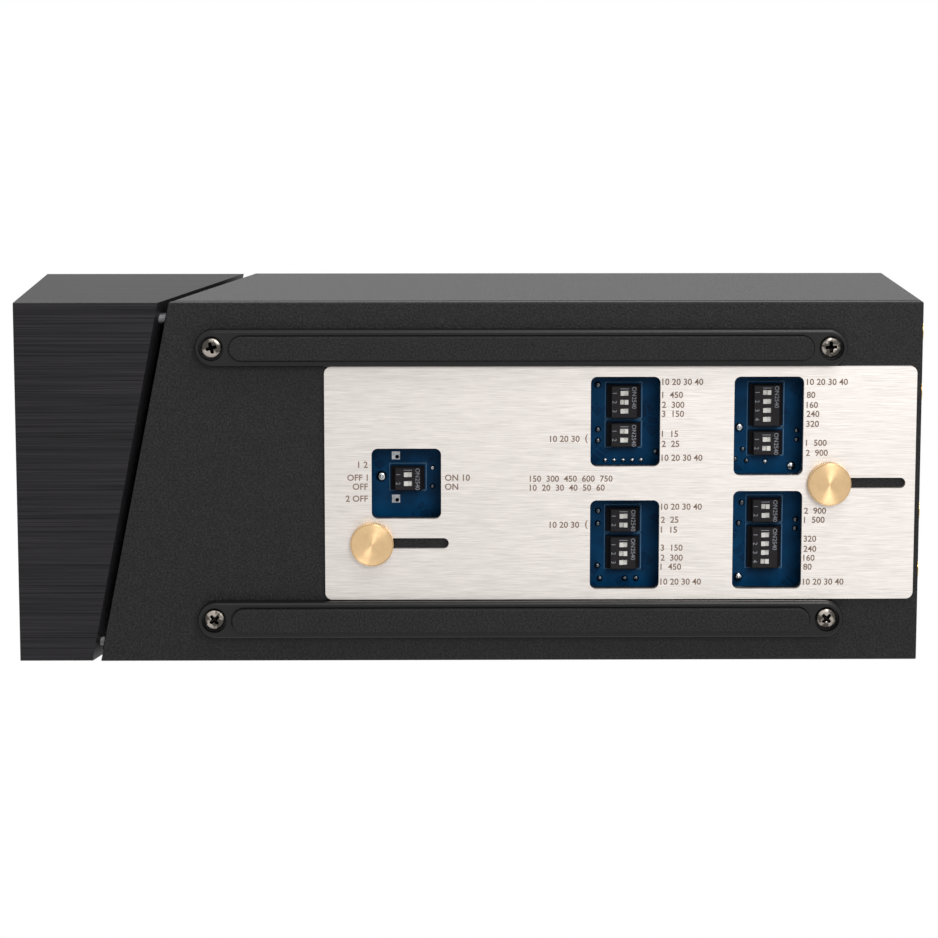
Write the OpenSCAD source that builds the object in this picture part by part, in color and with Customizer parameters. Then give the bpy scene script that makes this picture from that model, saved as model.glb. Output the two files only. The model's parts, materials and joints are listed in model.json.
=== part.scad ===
// A compact phono preamp: a machined front block and a folded cover meet at an oblique open joint,
// and a brushed plate under the case slides over five windows of small setting switches.
// Millimetres. The case stands on its foot pads, +Z up, with the front face towards -Y.

/* [Case] */
// Width of the case over its cover
case_w = 102; // [98:1:112]
// Length of the case from the front face to the rear face
case_l = 254; // [250:1:264]
// Height of the case without its feet
case_h = 84; // [76:1:96]
// Wall of the folded cover
cover_t = 2.5; // [1.5:0.1:3]
// Thickness of the bottom panel
panel_t = 3; // [2.2:0.1:3.2]
// Thickness of the rear panel
rear_t = 3; // [2:0.1:4]
// Radius along the long edges of the case
edge_r = 0.4; // [0.3:0.1:1.8]
// Open line between the cover's lower edge and the bottom panel
seam = 0.15; // [0.1:0.05:0.3]
// Height of the shadow groove above that line
groove_h = 1.2; // [0.6:0.1:2]
// Depth of that groove in the cover's wall
groove_d = 0.8; // [0.4:0.1:1.2]

/* [Front block] */
// Length of the block on its centre line, along the bottom
block_l = 30.3; // [28:0.1:34]
// Turn of the joint seen from below, in degrees
joint_skew = 11; // [6:0.5:13]
// Lean of the joint towards the rear at its top, in degrees
joint_lean = 13; // [8:0.5:15]
// Open gap between the block and the cover, along the bottom centre line
joint_gap = 2.8; // [2.4:0.1:4]
// How much further the cover's edge turns and leans than the block, in degrees
gap_flare = 0.4; // [0:0.1:0.5]
// How far the cover stands proud of the block on each side
cover_step = 0.1; // [0.1:0.1:0.5]
// Radius along the block's own long edges
block_edge = 0.4; // [0.2:0.1:1]
// Wall round the pocket in the block
block_wall = 8; // [7.5:0.5:10]
// Thickness of the block behind its front face
face_t = 9; // [7:0.5:10]
// How far the bulkhead shows in the open joint
bulkhead_show = 1.1; // [0.6:0.1:1.6]
// Thickness of the bulkhead
bulkhead_t = 3; // [2.4:0.1:4]
// Diameter of the joint's spacers
spacer_d = 3; // [2.8:0.1:4.4]

/* [Front controls] */
// Diameter of the power button
button_d = 12; // [10:0.5:14]
// How far the button stands out of the front face
button_out = 1.6; // [1.4:0.1:2.5]
// Travel of the button
button_travel = 1.2; // [0.8:0.1:1.3]
// Height of the button's centre above the case's bottom face
button_z = 42; // [38:1:46]
// Diameter of the status lens
lens_d = 3; // [2:0.5:4]
// Height of the lens above the button's centre
lens_rise = 14; // [13:1:15]

/* [Feet] */
// Width of a foot rail
rail_w = 10.4; // [9.6:0.1:12]
// Distance of the rails behind the joint, along the bottom centre line
rail_lead = 17.5; // [16:0.5:24]
// Height of a foot rail
rail_h = 4; // [3.8:0.1:6]
// Distance from a rail to the side of the case
rail_side = 7.25; // [6.5:0.05:9]
// Radius along a rail's outer edge
rail_edge = 0.9; // [0.4:0.1:1.5]
// Distance from the rails to the rear face
rail_margin = 21.4; // [18:0.1:30]
// Width of the rubber inlay in a rail
pad_w = 6.7; // [6:0.1:8]
// Groove round the inlay at the rail's face
pad_groove = 0.35; // [0.2:0.05:0.6]
// Rail left between the inlay and a screw's counterbore
pad_web = 1.5; // [1.2:0.05:3]
// Radius along the inlay's outer edge
pad_edge = 0.4; // [0.2:0.1:0.8]
// How far the inlay stands out of the rail
pad_out = 2; // [0.8:0.1:2.2]
// How deep the inlay sits in the rail
pad_in = 1.5; // [1:0.1:2]
// Distance of a foot screw from the rail's end
foot_screw_inset = 4.6; // [4.4:0.1:6]
// Diameter of a foot screw's head
foot_head_d = 5.8; // [5:0.1:6.2]
// Diameter of the counterbore round that head
foot_bore_d = 7.1; // [6.6:0.1:7.1]

/* [Sliding plate] */
// Thickness of the sliding plate
plate_t = 1.5; // [1:0.1:1.8]
// Distance from the open plate to the rear face
plate_margin = 1.6; // [1.2:0.1:2.4]
// Radius of the plate's corners
plate_r = 2; // [1:0.1:3]
// How far the shut plate laps over a window in the panel
shut_lap = 0.1; // [0.05:0.05:1]
// Gap between the plate's edge and a foot rail
plate_side_gap = 0.25; // [0.15:0.05:0.4]
// Gap under the plate and under a thumbscrew's disc
plate_gap = 0.1; // [0.06:0.01:0.15]

/* [Windows] */
// Length of every window along the case
window_l = 19.5; // [18:0.1:21]
// Radius of a window's corners
window_r = 1.8; // [1:0.1:2.5]
// Width of the single front window
window1_w = 20; // [18:0.1:24]
// Plate left beside the outer windows
window_side = 2.9; // [2.5:0.1:4]
// Plate left between the two middle windows
window2_web = 9.6; // [6:0.1:12]
// Plate left between the two rear windows
window3_web = 4.4; // [3.6:0.1:6]
// How much wider a window is in the panel than in the plate, on each side
panel_window_gap = 0.1; // [0:0.05:0.15]
// Front window's centre behind the plate's front edge
column1 = 22.9; // [20:0.1:26]
// Distance from the front window to the middle windows
column_step2 = 61.4; // [50:0.1:64]
// Distance from the middle windows to the rear windows
column_step3 = 40.2; // [36:0.1:46]

/* [Thumbscrews] */
// Diameter of a thumbscrew's disc
thumb_d = 12.2; // [10:0.1:13]
// Thickness of a thumbscrew's disc
thumb_t = 2.7; // [2:0.1:2.8]
// Width of the slot that a thumbscrew runs in
slot_w = 3; // [2.8:0.1:3.4]
// Gap round a thumbscrew's shoulder and stud
thumb_clearance = 0.06; // [0.03:0.01:0.1]
// Diameter of a thumbscrew's stud
stud_d = 2.5; // [2:0.1:2.7]
// Front thumbscrew behind the plate's front edge
thumb1_y = 13.2; // [11:0.1:16]
// Front thumbscrew's distance from the front window's edge
thumb1_side = 7; // [6.5:0.1:9]
// Rear thumbscrew's distance behind the rear windows' edge
thumb2_lead = 7.35; // [6.5:0.05:10]
// Spare length of a slot behind its thumbscrew's travel
slot_spare = 0.3; // [0:0.05:1]
// Plate left behind the rear thumbscrew's slot
slot_margin = 2.7; // [2:0.1:6]
// Number of ridges round a thumbscrew
knurl_count = 72; // [48:1:80]

/* [Board and switches] */
// Gap between the bottom panel and the switch housings
switch_gap = 0.7; // [0.4:0.1:1.5]
// Thickness of the board
board_t = 1.6; // [1:0.1:2]
// Gap on each side between the board and the cover's screw blocks
board_side_gap = 1; // [0.5:0.1:3]
// Distance of the board's front edge behind the open plate's front edge
board_lead = 7; // [4:0.5:10]
// Gap between the board and the rear panel
board_gap = 1.5; // [1:0.1:3]
// Width of a switch housing along its levers' travel, at the board
switch_w = 9.4; // [9:0.1:9.8]
// Width of its face along that travel
switch_face_w = 7.5; // [7:0.1:8]
// Height of a switch housing above the board
switch_h = 4.3; // [4:0.1:5]
// Distance between neighbouring levers
switch_pitch = 2.54; // [2.5:0.01:2.6]
// Housing beyond the outer levers, both ends together
switch_end = 1.6; // [1.4:0.1:1.7]
// Travel of a lever
lever_travel = 1.15; // [1:0.05:1.4]
// Length of a lever's knob along its travel
knob_l = 1.05; // [0.9:0.05:1.3]
// Width of a lever's knob
knob_w = 1.3; // [1.2:0.05:1.6]
// How far a knob stands out of its housing
knob_out = 0.3; // [0.1:0.05:0.4]
// Gap round a lever in its housing
lever_gap = 0.08; // [0.06:0.01:0.12]

/* [Rear sockets] */
// Distance between neighbouring sockets
socket_pitch = 18; // [16:0.5:19]
// Height of the sockets above the case's bottom face
socket_z = 61; // [56:1:66]
// Outer diameter of a socket's shell
shell_d = 8.3; // [8:0.1:8.4]
// Length of a socket outside the rear face
socket_out = 9; // [8:0.1:11]
// Diameter of a socket's centre contact
contact_bore = 3.2; // [3:0.1:3.4]
// Length of the ground post outside the rear face
post_out = 9.2; // [8:0.1:14]
// Diameter of the ground post
post_d = 4; // [3:0.1:5]
// Diameter of the ground post's nut
nut_d = 10; // [8:0.1:11]
// Height of the power inlet above the case's bottom face
inlet_z = 26; // [22:1:30]
// Bore of the power inlet
inlet_bore = 5.7; // [5.5:0.1:6]
// Diameter of the power inlet's pin
inlet_pin_d = 2.1; // [2:0.1:2.5]

/* [Hidden] */
$fn = 48;
eps = 0.01;
big = 700;

// Fits and small screws
seat_gap = 0.1;
thread_gap = 0.03;
screw_d = 3;
screw_core_d = 2.5;
screw_head_d = 5;
screw_head_h = 1.6;

// Joint between the block and the case
joint_head_d = 4.6;
joint_core_d = 2;
joint_hole_d = 2.4;
joint_thread = 6;
thread_spare = 2;
cable_hole_d = 10;

// Button, its switch, the lens and the board behind them
button_bevel = 0.5;
dish_rim = 1.5;
dish_depth = 0.3;
flange_rim = 1.5;
flange_t = 1.4;
plunger_d = 4;
plunger_in = 2;
switch_lead = 5;
switch_side = 10;
lens_sink = 0.2;
lens_pipe_rim = 1;
front_board_lead = 11;
front_board_t = 1.6;
front_board_w = 36;
front_board_h = 42;
front_board_rise = 4;
front_post_d = 5;
front_post_inset = 4;

// Inside of the case
boss_d = 8;
boss_h = 2.6;
pad_groove_in = 0.8;
foot_head_h = 1.9;
foot_seat = 1.2;
foot_thread = 6;
foot_block_l = 10;
foot_block_h = 8;
foot_block_wall = 4.05;
corner_block = 8;
corner_depth = 10;
corner_thread = 8;

// Thumbscrews and ground nut
knurl_depth = 0.16;
thumb_chamfer = 0.2;
stud_short = 0.3;

// Board, standoffs and solder
standoff_d = 5.5;
standoff_floor = 0.6;
standoff_inset = 3.9;
standoff_front = 5.5;
standoff_rear = 8;
solder_h = 0.7;
lead_h = 1.3;
lead_d = 0.6;

// Switches
slider_top = 0.45;
slider_t = 0.8;
slider_wall = 0.74;
slider_l = 3.9;
housing_bevel = 0.25;
housing_shoulder = 2.2;
housing_slope = 0.6;
contact_t = 0.25;
contact_w = 0.6;
contact_in = 0.8;
contact_short = 0.1;
contact_gap = 0.02;

// Parts on top of the board
capacitor_d = 10;
capacitor_h = 16;
capacitor_bevel = 0.8;
capacitor_lead = 12;
capacitor_step_x = 18;
capacitor_step_y = 24;
relay_w = 10;
relay_l = 14;
relay_h = 9;
relay_lead = 18;
relay_gap = 1.85;

// Rear sockets, ground post and power inlet
socket_in = 8;
socket_shoulder = 0.15;
shell_wall = 0.65;
contact_wall = 0.45;
insulator_step = 1;
insulator_sink = 0.6;
contact_sink = 0.8;
socket_flange_d = 12;
socket_flange_t = 1.5;
socket_nut_t = 2.4;
socket_tail_d = 1.6;
socket_tail = 5;
sleeve_gap = 0.03;
post_flange_d = 9;
post_flange_t = 1.5;
post_in = 5;
post_nut_d = 8;
post_nut_t = 3;
nut_t = 5.5;
nut_lead = 2.4;
nut_ridges = 48;
nut_knurl = 0.2;
nut_chamfer = 0.6;
inlet_wall = 1.15;
inlet_flange_rim = 1.5;
inlet_flange_t = 1.6;
inlet_in = 8;
inlet_floor = 1.5;
inlet_nut_rim = 2;
inlet_nut_t = 2;
inlet_pin_short = 0.5;

// ---------------------------------------------------------------- places

plate_w = case_w - 2 * (rail_side + rail_w + plate_side_gap);
window2_w = plate_w / 2 - window_side - window2_web / 2;
window3_w = plate_w / 2 - window_side - window3_web / 2;
window2_x = (window2_w + window2_web) / 2;
window3_x = (window3_w + window3_web) / 2;
column2 = column1 + column_step2;
column3 = column2 + column_step3;

// Each bank is one window: its column, the window's centre and width, its housings, and how far they
// stand behind the window's middle.
// A housing is its centre across the window and its levers' states, 0 for off and 1 for on.
BANKS = [
    [column1, 0, window1_w, [[0.5, [0, 0]]], 0.4],
    [column2, window2_x, window2_w, [[4.8, [0, 1, 0]], [-4.7, [1, 0]]], 0],
    [column2, -window2_x, window2_w, [[6, [0, 1]], [-3.5, [0, 1, 0]]], 0],
    [column3, window3_x, window3_w, [[5, [1, 0, 0, 0]], [-5.8, [0, 1]]], 0],
    [column3, -window3_x, window3_w, [[7.4, [1, 0]], [-3.3, [0, 0, 0, 1]]], 0]
];

// Solder joints in each window: along and across from the window's centre, and radius.
SOLDER = [
    [[-7.1, 0.7, 1.65], [7.4, 3.1, 0.8], [7.4, -2.2, 0.8]],
    [[-5.1, -12.3, 0.75], [-2.55, -12.3, 0.75], [0, -12.3, 0.75], [2.55, -12.3, 0.75], [5.1, -12.3, 0.75],
     [-7.3, 9.2, 1], [-7.2, -3.5, 0.9], [-7.2, -6.7, 0.9], [9.2, -9.9, 0.9]],
    [[-7, 8.1, 0.9], [-7.1, 4.5, 0.9], [-7.1, -7.7, 0.9], [-6.4, -11.4, 0.9], [0.7, -11.4, 0.9],
     [3.9, -11.4, 0.9]],
    [[-7.4, -1.6, 1.4], [-6.3, -7.9, 0.8], [-8.5, -10.7, 0.8], [-5.2, -11.2, 0.8], [0.1, -11.4, 0.8],
     [8.9, -2.6, 0.8], [8.9, -5.2, 0.8], [7.4, -12.7, 1.4]],
    [[-6.4, 9.1, 0.9], [-7.2, 3.2, 0.9], [9, 4.2, 0.9], [8.9, 1.7, 0.9], [-7.1, -12.3, 1.4]]
];

// Places of a bank's levers across the case, with their states.
function lever_list(bank) = [
    for (housing = bank[3])
        for (i = [0 : len(housing[1]) - 1])
            [bank[1] + housing[0] + ((len(housing[1]) - 1) / 2 - i) * switch_pitch, housing[1][i]]
];

// Where a bank's housings stand along the case.
function bank_y(bank) = plate_y + bank[0] + bank[4];

// Places of a bank's contacts, as across and along the case.
function contact_places(bank) = [
    for (lever = lever_list(bank)) for (side = [-1, 1]) [lever[0], bank_y(bank) + side * contact_row / 2]
];
function lever_name(b, k) = str("switch_lever_", b + 1, "_", k + 1);
function bank_name(b) = str("switch_bank_", b + 1);

rear_out = max(post_out, socket_out);
total_l = button_out + case_l + rear_out;
front_y = button_out - total_l / 2;
foot_h = rail_h + pad_out;

body_skew = joint_skew + gap_flare;
body_lean = joint_lean + gap_flare;
body_y = block_l + joint_gap;
bulkhead_y = body_y - bulkhead_show;
joint_inset = 2 * seat_gap + joint_head_d / 2;
joint_slope = norm([tan(body_skew), tan(body_lean)]);
joint_stretch = norm([1, joint_slope]);
spot_d = joint_head_d + 2 * seat_gap;
spot_y = bulkhead_t * joint_stretch - spot_d / 2 * joint_slope;

front_board_y = face_t + front_board_lead;
front_board_z = button_z + front_board_rise;
switch_y = face_t + switch_lead;

plate_travel = window_l + 2 * panel_window_gap + shut_lap;
thumb2_y = column3 + window_l / 2 + thumb2_lead;
slot_run = plate_travel + slot_spare;
plate_l = thumb2_y + slot_run + slot_w / 2 + slot_margin;
plate_y = case_l - plate_margin - plate_l;
disc_z = -(2 * plate_gap + plate_t);
thumb_places = [[-window1_w / 2 - thumb1_side, plate_y + thumb1_y], [0, plate_y + thumb2_y]];

rail_x = case_w / 2 - rail_side - rail_w / 2;
rail_y = body_y + rail_lead;
rail_l = case_l - rail_margin - rail_y;
pad_l = rail_l - 2 * (foot_screw_inset + foot_bore_d / 2 + pad_web);
foot_screw_ys = [rail_y + foot_screw_inset, rail_y + rail_l - foot_screw_inset];
foot_block_w = rail_side + rail_w / 2 - cover_t + foot_block_wall;

board_z = panel_t + switch_gap + switch_h;
board_top = board_z + board_t;
board_w = case_w - 2 * (cover_t + foot_block_w + board_side_gap);
board_y = plate_y + board_lead;
board_l = case_l - rear_t - board_gap - board_y;
standoff_x = board_w / 2 - standoff_inset;
standoff_ys = [board_y + standoff_front, plate_y + (column2 + column3) / 2, board_y + board_l - standoff_rear];
relay_step = (standoff_x - screw_head_d / 2 - relay_gap - relay_w / 2) / 1.5;
switch_face = panel_t + switch_gap;
slider_w = switch_pitch - slider_wall;
contact_row = 3 * switch_pitch;
contact_z = board_z - seat_gap - contact_in;
rear_seat = 0.4 * rear_t;

corner_x = case_w / 2 - cover_t - seat_gap - corner_block / 2;
corner_zs = [panel_t + corner_block / 2, case_h - cover_t - corner_block / 2];

socket_xs = [for (k = [-2, -1, 1, 2]) k * socket_pitch];
socket_neck_d = shell_d - 2 * socket_shoulder;
insulator_d = shell_d - 2 * shell_wall;
contact_d = contact_bore + 2 * contact_wall;
inlet_neck_d = inlet_bore + 2 * inlet_wall;

// Corner places of the block's screws, as across and up.
joint_corners = [for (sx = [-1, 1]) for (z = [panel_t + joint_inset, case_h - cover_t - joint_inset])
    [sx * (case_w / 2 - cover_t - joint_inset), z]];

// Corner places of the front board's posts.
front_posts = [for (sx = [-1, 1]) for (sz = [-1, 1])
    [sx * (front_board_w / 2 - front_post_inset), front_board_z + sz * (front_board_h / 2 - front_post_inset)]];

// ---------------------------------------------------------------- shared shapes

// Moves a shape from the case's own frame, front face and bottom face at zero, to the part's frame.
module in_case() translate([0, front_y, foot_h]) children();

// Rectangle with round corners, centred on both axes.
module round_rect(w, h, r) {
    square([w - 2 * r, h], center = true);
    square([w, h - 2 * r], center = true);
    for (sx = [-1, 1]) for (sy = [-1, 1])
        translate([sx * (w / 2 - r), sy * (h / 2 - r)]) circle(r);
}

// Slot outline between two points on the Y axis.
module stadium(w, l) {
    square([w, l - w], center = true);
    for (s = [-1, 1]) translate([0, s * (l - w) / 2]) circle(w / 2);
}

// Right half of a strip's section, with a round at its top edge.
module half_section(w, h, r) {
    square([w / 2 - r, h]);
    square([w / 2, h - r]);
    translate([w / 2 - r, h - r]) circle(r);
}

// Strip with round ends along the Y axis, standing on z = 0, its top edge rounded all the way round.
module strip(w, l, h, r) {
    translate([0, (l - w) / 2, 0]) rotate([90, 0, 0]) linear_extrude(l - w) {
        half_section(w, h, r);
        mirror([1, 0]) half_section(w, h, r);
    }
    for (s = [-1, 1]) translate([0, s * (l - w) / 2, 0]) rotate_extrude() half_section(w, h, r);
}

// Bar along the case with round long edges, from the front face to length l.
module bar(w, h, l, r) {
    translate([0, l, h / 2]) rotate([90, 0, 0]) linear_extrude(l) round_rect(w, h, r);
}

// The space ahead of an oblique plane that crosses the bottom centre line at y.
module ahead_of(y, skew, lean) {
    translate([0, y, 0]) rotate([-atan(tan(lean) * cos(skew)), 0, skew])
        translate([-big / 2, -big, -big / 2]) cube(big);
}

// A slab of thickness t that starts at the cover's oblique plane, moved to y.
module oblique_slab(y, t) {
    translate([0, y, 0]) rotate([-atan(tan(body_lean) * cos(body_skew)), 0, body_skew])
        translate([-big / 2, 0, -big / 2]) cube([big, t, big]);
}

// Where an oblique plane stands at a corner place.
function plane_y(y, skew, lean, p) = y + p[0] * tan(skew) + p[1] * tan(lean);

// Outside of the cover and bottom panel, with its rear corners rounded.
module case_solid() {
    difference() {
        intersection() {
            bar(case_w, case_h, case_l, edge_r);
            translate([0, case_l / 2, 0]) linear_extrude(case_h) round_rect(case_w, case_l, edge_r);
        }
        ahead_of(body_y, body_skew, body_lean);
    }
}

// Cylinder along +Y from y, plain or as a six-sided nut.
module rod(x, y, z, d, l) translate([x, y, z]) rotate([-90, 0, 0]) cylinder(h = l, d = d);
module hex_nut(x, y, z, d, l) translate([x, y, z]) rotate([-90, 0, 0]) cylinder(h = l, d = d, $fn = 6);

// Straight-knurled disc of n ridges with a plain chamfer at its top.
module knurled_disc(d, t, n, depth, chamfer) {
    linear_extrude(t - chamfer)
        polygon([for (i = [0 : 2 * n - 1]) let (r = d / 2 - (i % 2) * depth, a = 180 * i / n) [r * cos(a), r * sin(a)]]);
    translate([0, 0, t - chamfer - eps])
        cylinder(h = chamfer + eps, d1 = d - 2 * (depth + thread_gap), d2 = d - 2 * (depth + chamfer));
}

// Pan-head screw with a cross recess, head upwards, seated at z = 0, shank of length l below.
module cross_screw(head, head_h, core, l) difference() {
    union() {
        cylinder(h = 0.6 * head_h, d = head);
        translate([0, 0, 0.6 * head_h]) cylinder(h = 0.4 * head_h, d1 = head, d2 = 0.72 * head);
        translate([0, 0, -l]) cylinder(h = l, d = core - 2 * thread_gap);
    }
    for (a = [0, 90]) rotate([0, 0, a])
        translate([-0.28 * head, -0.09 * head, 0.35 * head_h]) cube([0.56 * head, 0.18 * head, head_h]);
}

// ---------------------------------------------------------------- front block

module front_block() color("#333034") in_case() {
    difference() {
        intersection() {
            bar(case_w - 2 * cover_step, case_h, 2 * block_l + case_h, block_edge);
            ahead_of(block_l, joint_skew, joint_lean);
        }
        translate([block_wall - case_w / 2, face_t, block_wall])
            cube([case_w - 2 * block_wall, case_l, case_h - 2 * block_wall]);
        rod(0, -eps, button_z, button_d + 2 * seat_gap, face_t + 2 * eps);
        rod(0, -eps, button_z + lens_rise, lens_d + 2 * seat_gap, face_t + 2 * eps);
        for (p = joint_corners)
            rod(p[0], plane_y(block_l, joint_skew, joint_lean, p) - joint_thread - thread_spare, p[1],
                joint_core_d, 2 * (joint_thread + thread_spare));
    }
    for (p = front_posts) difference() {
        rod(p[0], face_t - eps, p[1], front_post_d, front_board_lead + eps);
        rod(p[0], front_board_y - joint_thread, p[1], screw_core_d, joint_thread + 1);
    }
}

module joint_spacers() color("silver") in_case() difference() {
    intersection() {
        for (p = joint_corners) rod(p[0], 0, p[1], spacer_d, case_l / 2);
        ahead_of(bulkhead_y, body_skew, body_lean);
    }
    ahead_of(block_l, joint_skew, joint_lean);
    for (p = joint_corners) rod(p[0], 0, p[1], joint_hole_d, case_l / 2);
}

module front_bulkhead() color("#232323") in_case() difference() {
    intersection() {
        translate([0, 0, panel_t + seat_gap])
            bar(case_w - 2 * (cover_t + seat_gap), case_h - cover_t - panel_t - 2 * seat_gap, case_l / 2, edge_r);
        oblique_slab(bulkhead_y, bulkhead_t);
    }
    for (p = joint_corners) {
        rod(p[0], 0, p[1], joint_hole_d, case_l / 2);
        rod(p[0], plane_y(bulkhead_y, body_skew, body_lean, p) + spot_y, p[1], spot_d, case_l / 2);
    }
    rod(0, 0, case_h / 2, cable_hole_d, case_l / 2);
}

module power_button() color("#8a8a8c") in_case() {
    difference() {
        union() {
            rod(0, button_bevel - button_out, button_z, button_d, button_out + face_t - button_bevel);
            translate([0, button_bevel - button_out, button_z]) rotate([90, 0, 0])
                cylinder(h = button_bevel, d1 = button_d, d2 = button_d - 2 * button_bevel);
        }
        translate([0, dish_depth - button_out, button_z]) rotate([90, 0, 0])
            cylinder(h = 1, d = button_d - 2 * dish_rim);
    }
    rod(0, face_t + seat_gap, button_z, button_d + 2 * flange_rim, flange_t);
    rod(0, face_t - eps, button_z, button_d - 2 * button_bevel, flange_t);
    rod(0, face_t + flange_t / 2, button_z, plunger_d, switch_lead - flange_t / 2 + plunger_in);
}

module power_switch() color("#1c1c1e") in_case() difference() {
    translate([-switch_side / 2, switch_y, button_z - switch_side / 2])
        cube([switch_side, front_board_y - switch_y, switch_side]);
    rod(0, switch_y - eps, button_z, plunger_d + 2 * seat_gap, plunger_in + button_travel + flange_t / 2);
}

module front_board() color("#0b2a4a") in_case() difference() {
    translate([-front_board_w / 2, front_board_y, front_board_z - front_board_h / 2])
        cube([front_board_w, front_board_t, front_board_h]);
    for (p = front_posts) rod(p[0], front_board_y - eps, p[1], screw_d, front_board_t + 2 * eps);
}

module status_lens() color("#dfe8ee") in_case() {
    rod(0, lens_sink, button_z + lens_rise, lens_d, front_board_y - lens_sink);
    rod(0, face_t + seat_gap, button_z + lens_rise, lens_d + 2 * lens_pipe_rim, front_board_lead - seat_gap);
}

// ---------------------------------------------------------------- case

// All windows with a margin m on every side, cut from depth z0 over height h.
module windows(z0, h, m) {
    for (bank = BANKS)
        translate([bank[1], plate_y + bank[0], z0])
            linear_extrude(h) round_rect(bank[2] + 2 * m, window_l + 2 * m, window_r + m);
}

module bottom_panel() color("#232323") in_case() {
    difference() {
        union() {
            intersection() {
                case_solid();
                translate([-case_w, 0, 0]) cube([2 * case_w, 2 * case_l, panel_t]);
            }
            for (p = thumb_places) translate([p[0], p[1], panel_t - eps]) cylinder(h = boss_h + eps, d = boss_d);
            for (sx = [-1, 1]) corner_lug(sx, panel_t - eps, corner_block + eps);
        }
        windows(-eps, panel_t + 2 * eps, panel_window_gap);
        for (p = thumb_places) translate([p[0], p[1], -eps])
            cylinder(h = panel_t + boss_h + 2 * eps, d = stud_d + 2 * thumb_clearance);
        for (sx = [-1, 1]) for (y = foot_screw_ys) translate([sx * rail_x, y, -eps])
            cylinder(h = panel_t + 2 * eps, d = screw_d + 2 * seat_gap);
        corner_bores();
    }
}

// Block inside a rear corner that a rear screw bites into.
module corner_lug(sx, z, h) {
    translate([sx * corner_x - corner_block / 2, case_l - rear_t - seat_gap - corner_depth, z])
        cube([corner_block, corner_depth, h]);
}

module corner_bores() {
    for (sx = [-1, 1]) for (z = corner_zs)
        rod(sx * corner_x, case_l - rear_t - corner_depth - 1, z, screw_core_d, corner_depth + 2);
}

module top_cover() color("#2a2a2b") in_case() difference() {
    union() {
        difference() {
            case_solid();
            translate([-case_w, 0, -case_h]) cube([2 * case_w, 2 * case_l, case_h + panel_t + seam]);
            translate([0, -case_l / 2, -edge_r])
                bar(case_w - 2 * cover_t, case_h - cover_t + edge_r, 2 * case_l, edge_r / 2);
            for (sx = [-1, 1]) translate([sx * case_w / 2 - groove_d, 0, panel_t])
                cube([2 * groove_d, 2 * case_l, seam + groove_h]);
        }
        for (sx = [-1, 1]) translate([sx * seat_gap, 0, 0])
            corner_lug(sx, case_h - cover_t - corner_block, corner_block + eps);
        for (sx = [-1, 1]) for (y = foot_screw_ys)
            translate([sx * (case_w / 2 - cover_t - foot_block_w / 2) - foot_block_w / 2, y - foot_block_l / 2, panel_t])
                cube([foot_block_w, foot_block_l, foot_block_h]);
    }
    for (sx = [-1, 1]) for (y = foot_screw_ys) translate([sx * rail_x, y, panel_t - 1])
        cylinder(h = foot_block_h + 2, d = screw_core_d);
    corner_bores();
}

module rear_panel() color("#232323") in_case() difference() {
    translate([0, case_l, (case_h - cover_t + panel_t) / 2]) rotate([90, 0, 0]) linear_extrude(rear_t)
        round_rect(case_w - 2 * (cover_t + seat_gap), case_h - cover_t - panel_t - 2 * seat_gap, edge_r);
    for (x = socket_xs) rod(x, case_l - rear_t - 1, socket_z, socket_neck_d + 2 * seat_gap, rear_t + 2);
    rod(0, case_l - rear_t - 1, socket_z, post_d + 2 * seat_gap, rear_t + 2);
    rod(0, case_l - rear_t - 1, inlet_z, inlet_neck_d + 2 * seat_gap, rear_t + 2);
    for (sx = [-1, 1]) for (z = corner_zs) {
        rod(sx * corner_x, case_l - rear_t - 1, z, screw_d + 2 * seat_gap, rear_t + 2);
        rod(sx * corner_x, case_l - rear_t + rear_seat, z, screw_head_d + 4 * seat_gap, rear_t);
    }
}

// ---------------------------------------------------------------- feet

// Moves a strip to one side's rail, its round edge downwards.
module at_rail(sx) translate([sx * rail_x, rail_y + rail_l / 2, 0]) mirror([0, 0, 1]) children();

module foot_rail(sx) color("#1b1b1c") in_case() difference() {
    at_rail(sx) strip(rail_w, rail_l, rail_h, rail_edge);
    at_rail(sx) translate([0, 0, rail_h - pad_in])
        linear_extrude(pad_in + eps) stadium(pad_w + 2 * seat_gap, pad_l + 2 * seat_gap);
    at_rail(sx) translate([0, 0, rail_h - pad_groove_in])
        linear_extrude(pad_groove_in + eps) stadium(pad_w + 2 * pad_groove, pad_l + 2 * pad_groove);
    for (y = foot_screw_ys) translate([sx * rail_x, y, -rail_h - eps]) {
        cylinder(h = rail_h - foot_seat + eps, d = foot_bore_d);
        cylinder(h = rail_h + 1, d = screw_d + 2 * seat_gap);
    }
}

module foot_pad(sx) color("#141415") in_case()
    at_rail(sx) translate([0, 0, rail_h - pad_in]) strip(pad_w, pad_l, pad_in + pad_out, pad_edge);

module foot_screws() color("#c9c9c6") in_case()
    for (sx = [-1, 1]) for (y = foot_screw_ys)
        translate([sx * rail_x, y, -foot_seat]) rotate([180, 0, 0]) rotate([0, 0, 25])
            cross_screw(foot_head_d, foot_head_h, screw_core_d, foot_seat + panel_t + foot_thread);

// ---------------------------------------------------------------- sliding plate and thumbscrews

module slide_plate() color("#e3dcd7") in_case() difference() {
    translate([0, plate_y + plate_l / 2, -plate_gap - plate_t])
        linear_extrude(plate_t) round_rect(plate_w, plate_l, plate_r);
    windows(-plate_gap - plate_t - eps, plate_t + 2 * eps, 0);
    for (p = thumb_places) translate([p[0], p[1] + slot_run / 2, -plate_gap - plate_t - eps])
        linear_extrude(plate_t + 2 * eps) stadium(slot_w, slot_run + slot_w);
}

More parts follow.
